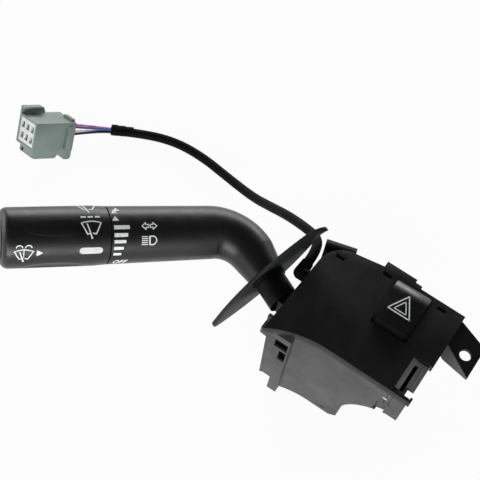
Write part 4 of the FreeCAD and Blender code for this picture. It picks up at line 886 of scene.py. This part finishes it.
class SWITCH_OT_stage(bpy.types.Operator):
    """Set the floor, the lamps, the world and the camera"""
    bl_idname = "switch.stage"
    bl_label = "Stage"

    def execute(self, context):
        scene = context.scene
        scene.view_settings.view_transform = "Standard"
        self.camera(scene)
        self.floor(scene)
        self.world(scene)
        for name, away, size, power in SOFT_BOXES:
            soft_box(name, LIT_MIDDLE + away, size, power)
        return {"FINISHED"}

    def camera(self, scene):
        """The camera, where the photograph was taken from."""
        data = bpy.data.cameras.new("photo_camera")
        data.lens = sizes().lens
        data.sensor_width = 36
        data.clip_start = 0.01
        camera = bpy.data.objects.new("photo_camera", data)
        scene.collection.objects.link(camera)
        scene.camera = camera
        turn = Matrix((CAMERA_RIGHT, CAMERA_UP, CAMERA_BACK)).transposed().to_quaternion()
        camera.rotation_euler = turn.to_euler()
        camera.location = CAMERA_PLACE

    def floor(self, scene):
        """Pale paper, white to the eye apart from the shadow on it."""
        form = bmesh.new()
        bmesh.ops.create_grid(form, x_segments=1, y_segments=1, size=3)
        bmesh.ops.translate(form, verts=form.verts, vec=(0, 0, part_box("lower_case")[0].z - FLOOR_GAP))
        mesh = bpy.data.meshes.new("floor")
        form.to_mesh(mesh)
        form.free()
        thing = bpy.data.objects.new("floor", mesh)
        scene.collection.objects.link(thing)
        mat = bpy.data.materials.new("pale_paper")
        mat.use_nodes = True
        nodes, links = mat.node_tree.nodes, mat.node_tree.links
        nodes.clear()
        out = nodes.new("ShaderNodeOutputMaterial")
        paper = nodes.new("ShaderNodeBsdfDiffuse")
        paper.inputs["Color"].default_value = (0.85, 0.85, 0.85, 1)
        glow = nodes.new("ShaderNodeEmission")
        glow.inputs["Color"].default_value = (1, 1, 1, 1)
        mix = nodes.new("ShaderNodeMixShader")
        share = nodes.new("ShaderNodeMath")
        share.operation = "MULTIPLY"
        share.inputs[1].default_value = FLOOR_SHARE
        links.new(seen_directly(nodes, links), share.inputs[0])
        links.new(share.outputs[0], mix.inputs["Fac"])
        links.new(paper.outputs["BSDF"], mix.inputs[1])
        links.new(glow.outputs["Emission"], mix.inputs[2])
        links.new(mix.outputs["Shader"], out.inputs["Surface"])
        mesh.materials.append(mat)

    def world(self, scene):
        """A soft even light, with the room in its place for the eye and for a gloss."""
        world = bpy.data.worlds.new("studio")
        scene.world = world
        world.use_nodes = True
        nodes, links = world.node_tree.nodes, world.node_tree.links
        nodes.clear()
        out = nodes.new("ShaderNodeOutputWorld")
        soft = nodes.new("ShaderNodeBackground")
        soft.inputs["Color"].default_value = (1, 1, 1, 1)
        soft.inputs["Strength"].default_value = WORLD_STRENGTH
        white = nodes.new("ShaderNodeBackground")
        white.inputs["Color"].default_value = (1, 1, 1, 1)
        links.new(self.room(nodes, links), white.inputs["Strength"])
        mix = nodes.new("ShaderNodeMixShader")
        links.new(seen_directly(nodes, links), mix.inputs["Fac"])
        links.new(soft.outputs["Background"], mix.inputs[1])
        links.new(white.outputs["Background"], mix.inputs[2])
        links.new(mix.outputs["Shader"], out.inputs["Surface"])

    def room(self, nodes, links):
        """White to the eye; to a gloss, white walls under a dim ceiling, which rim rounded edges."""
        place = nodes.new("ShaderNodeTexCoord")
        split = nodes.new("ShaderNodeSeparateXYZ")
        links.new(place.outputs["Generated"], split.inputs[0])
        ceiling = map_range(nodes, links, split.outputs["Z"], CEILING_FROM, CEILING_TO, 1.0, CEILING_DIM)
        ceiling.interpolation_type = "SMOOTHSTEP"
        rays = nodes.new("ShaderNodeLightPath")
        values = [ceiling.outputs["Result"], rays.outputs["Is Camera Ray"]]
        return join_values(nodes, links, "MAXIMUM", values)


class SWITCH_PT_panel(bpy.types.Panel):
    """Stalk switch"""
    bl_idname = "SWITCH_PT_panel"
    bl_label = "Stalk switch"
    bl_space_type = "VIEW_3D"
    bl_region_type = "UI"
    bl_category = "Stalk switch"

    def draw(self, context):
        for group in (context.scene.switch_sizes, context.scene.switch_finish):
            column = self.layout.column(align=True)
            for name in group.__annotations__:
                column.prop(group, name)
        column = self.layout.column(align=True)
        for operator in STEPS:
            column.operator(operator.bl_idname)


STEPS = (SWITCH_OT_stage, SWITCH_OT_lead, SWITCH_OT_case, SWITCH_OT_hazard, SWITCH_OT_lever,
         SWITCH_OT_symbols, SWITCH_OT_inner)
CLASSES = (SwitchFinish, SwitchSizes, *STEPS, SWITCH_PT_panel)


def register():
    for item in CLASSES:
        bpy.utils.register_class(item)
    bpy.types.Scene.switch_finish = PointerProperty(type=SwitchFinish)
    bpy.types.Scene.switch_sizes = PointerProperty(type=SwitchSizes)


def unregister():
    del bpy.types.Scene.switch_finish
    del bpy.types.Scene.switch_sizes
    for item in reversed(CLASSES):
        bpy.utils.unregister_class(item)


def main():
    register()
    bpy.ops.switch.stage()
    bpy.ops.switch.lead()
    bpy.ops.switch.case()
    bpy.ops.switch.hazard()
    bpy.ops.switch.lever()
    bpy.ops.switch.symbols()
    bpy.ops.switch.inner()


if __name__ == "__main__":
    main()
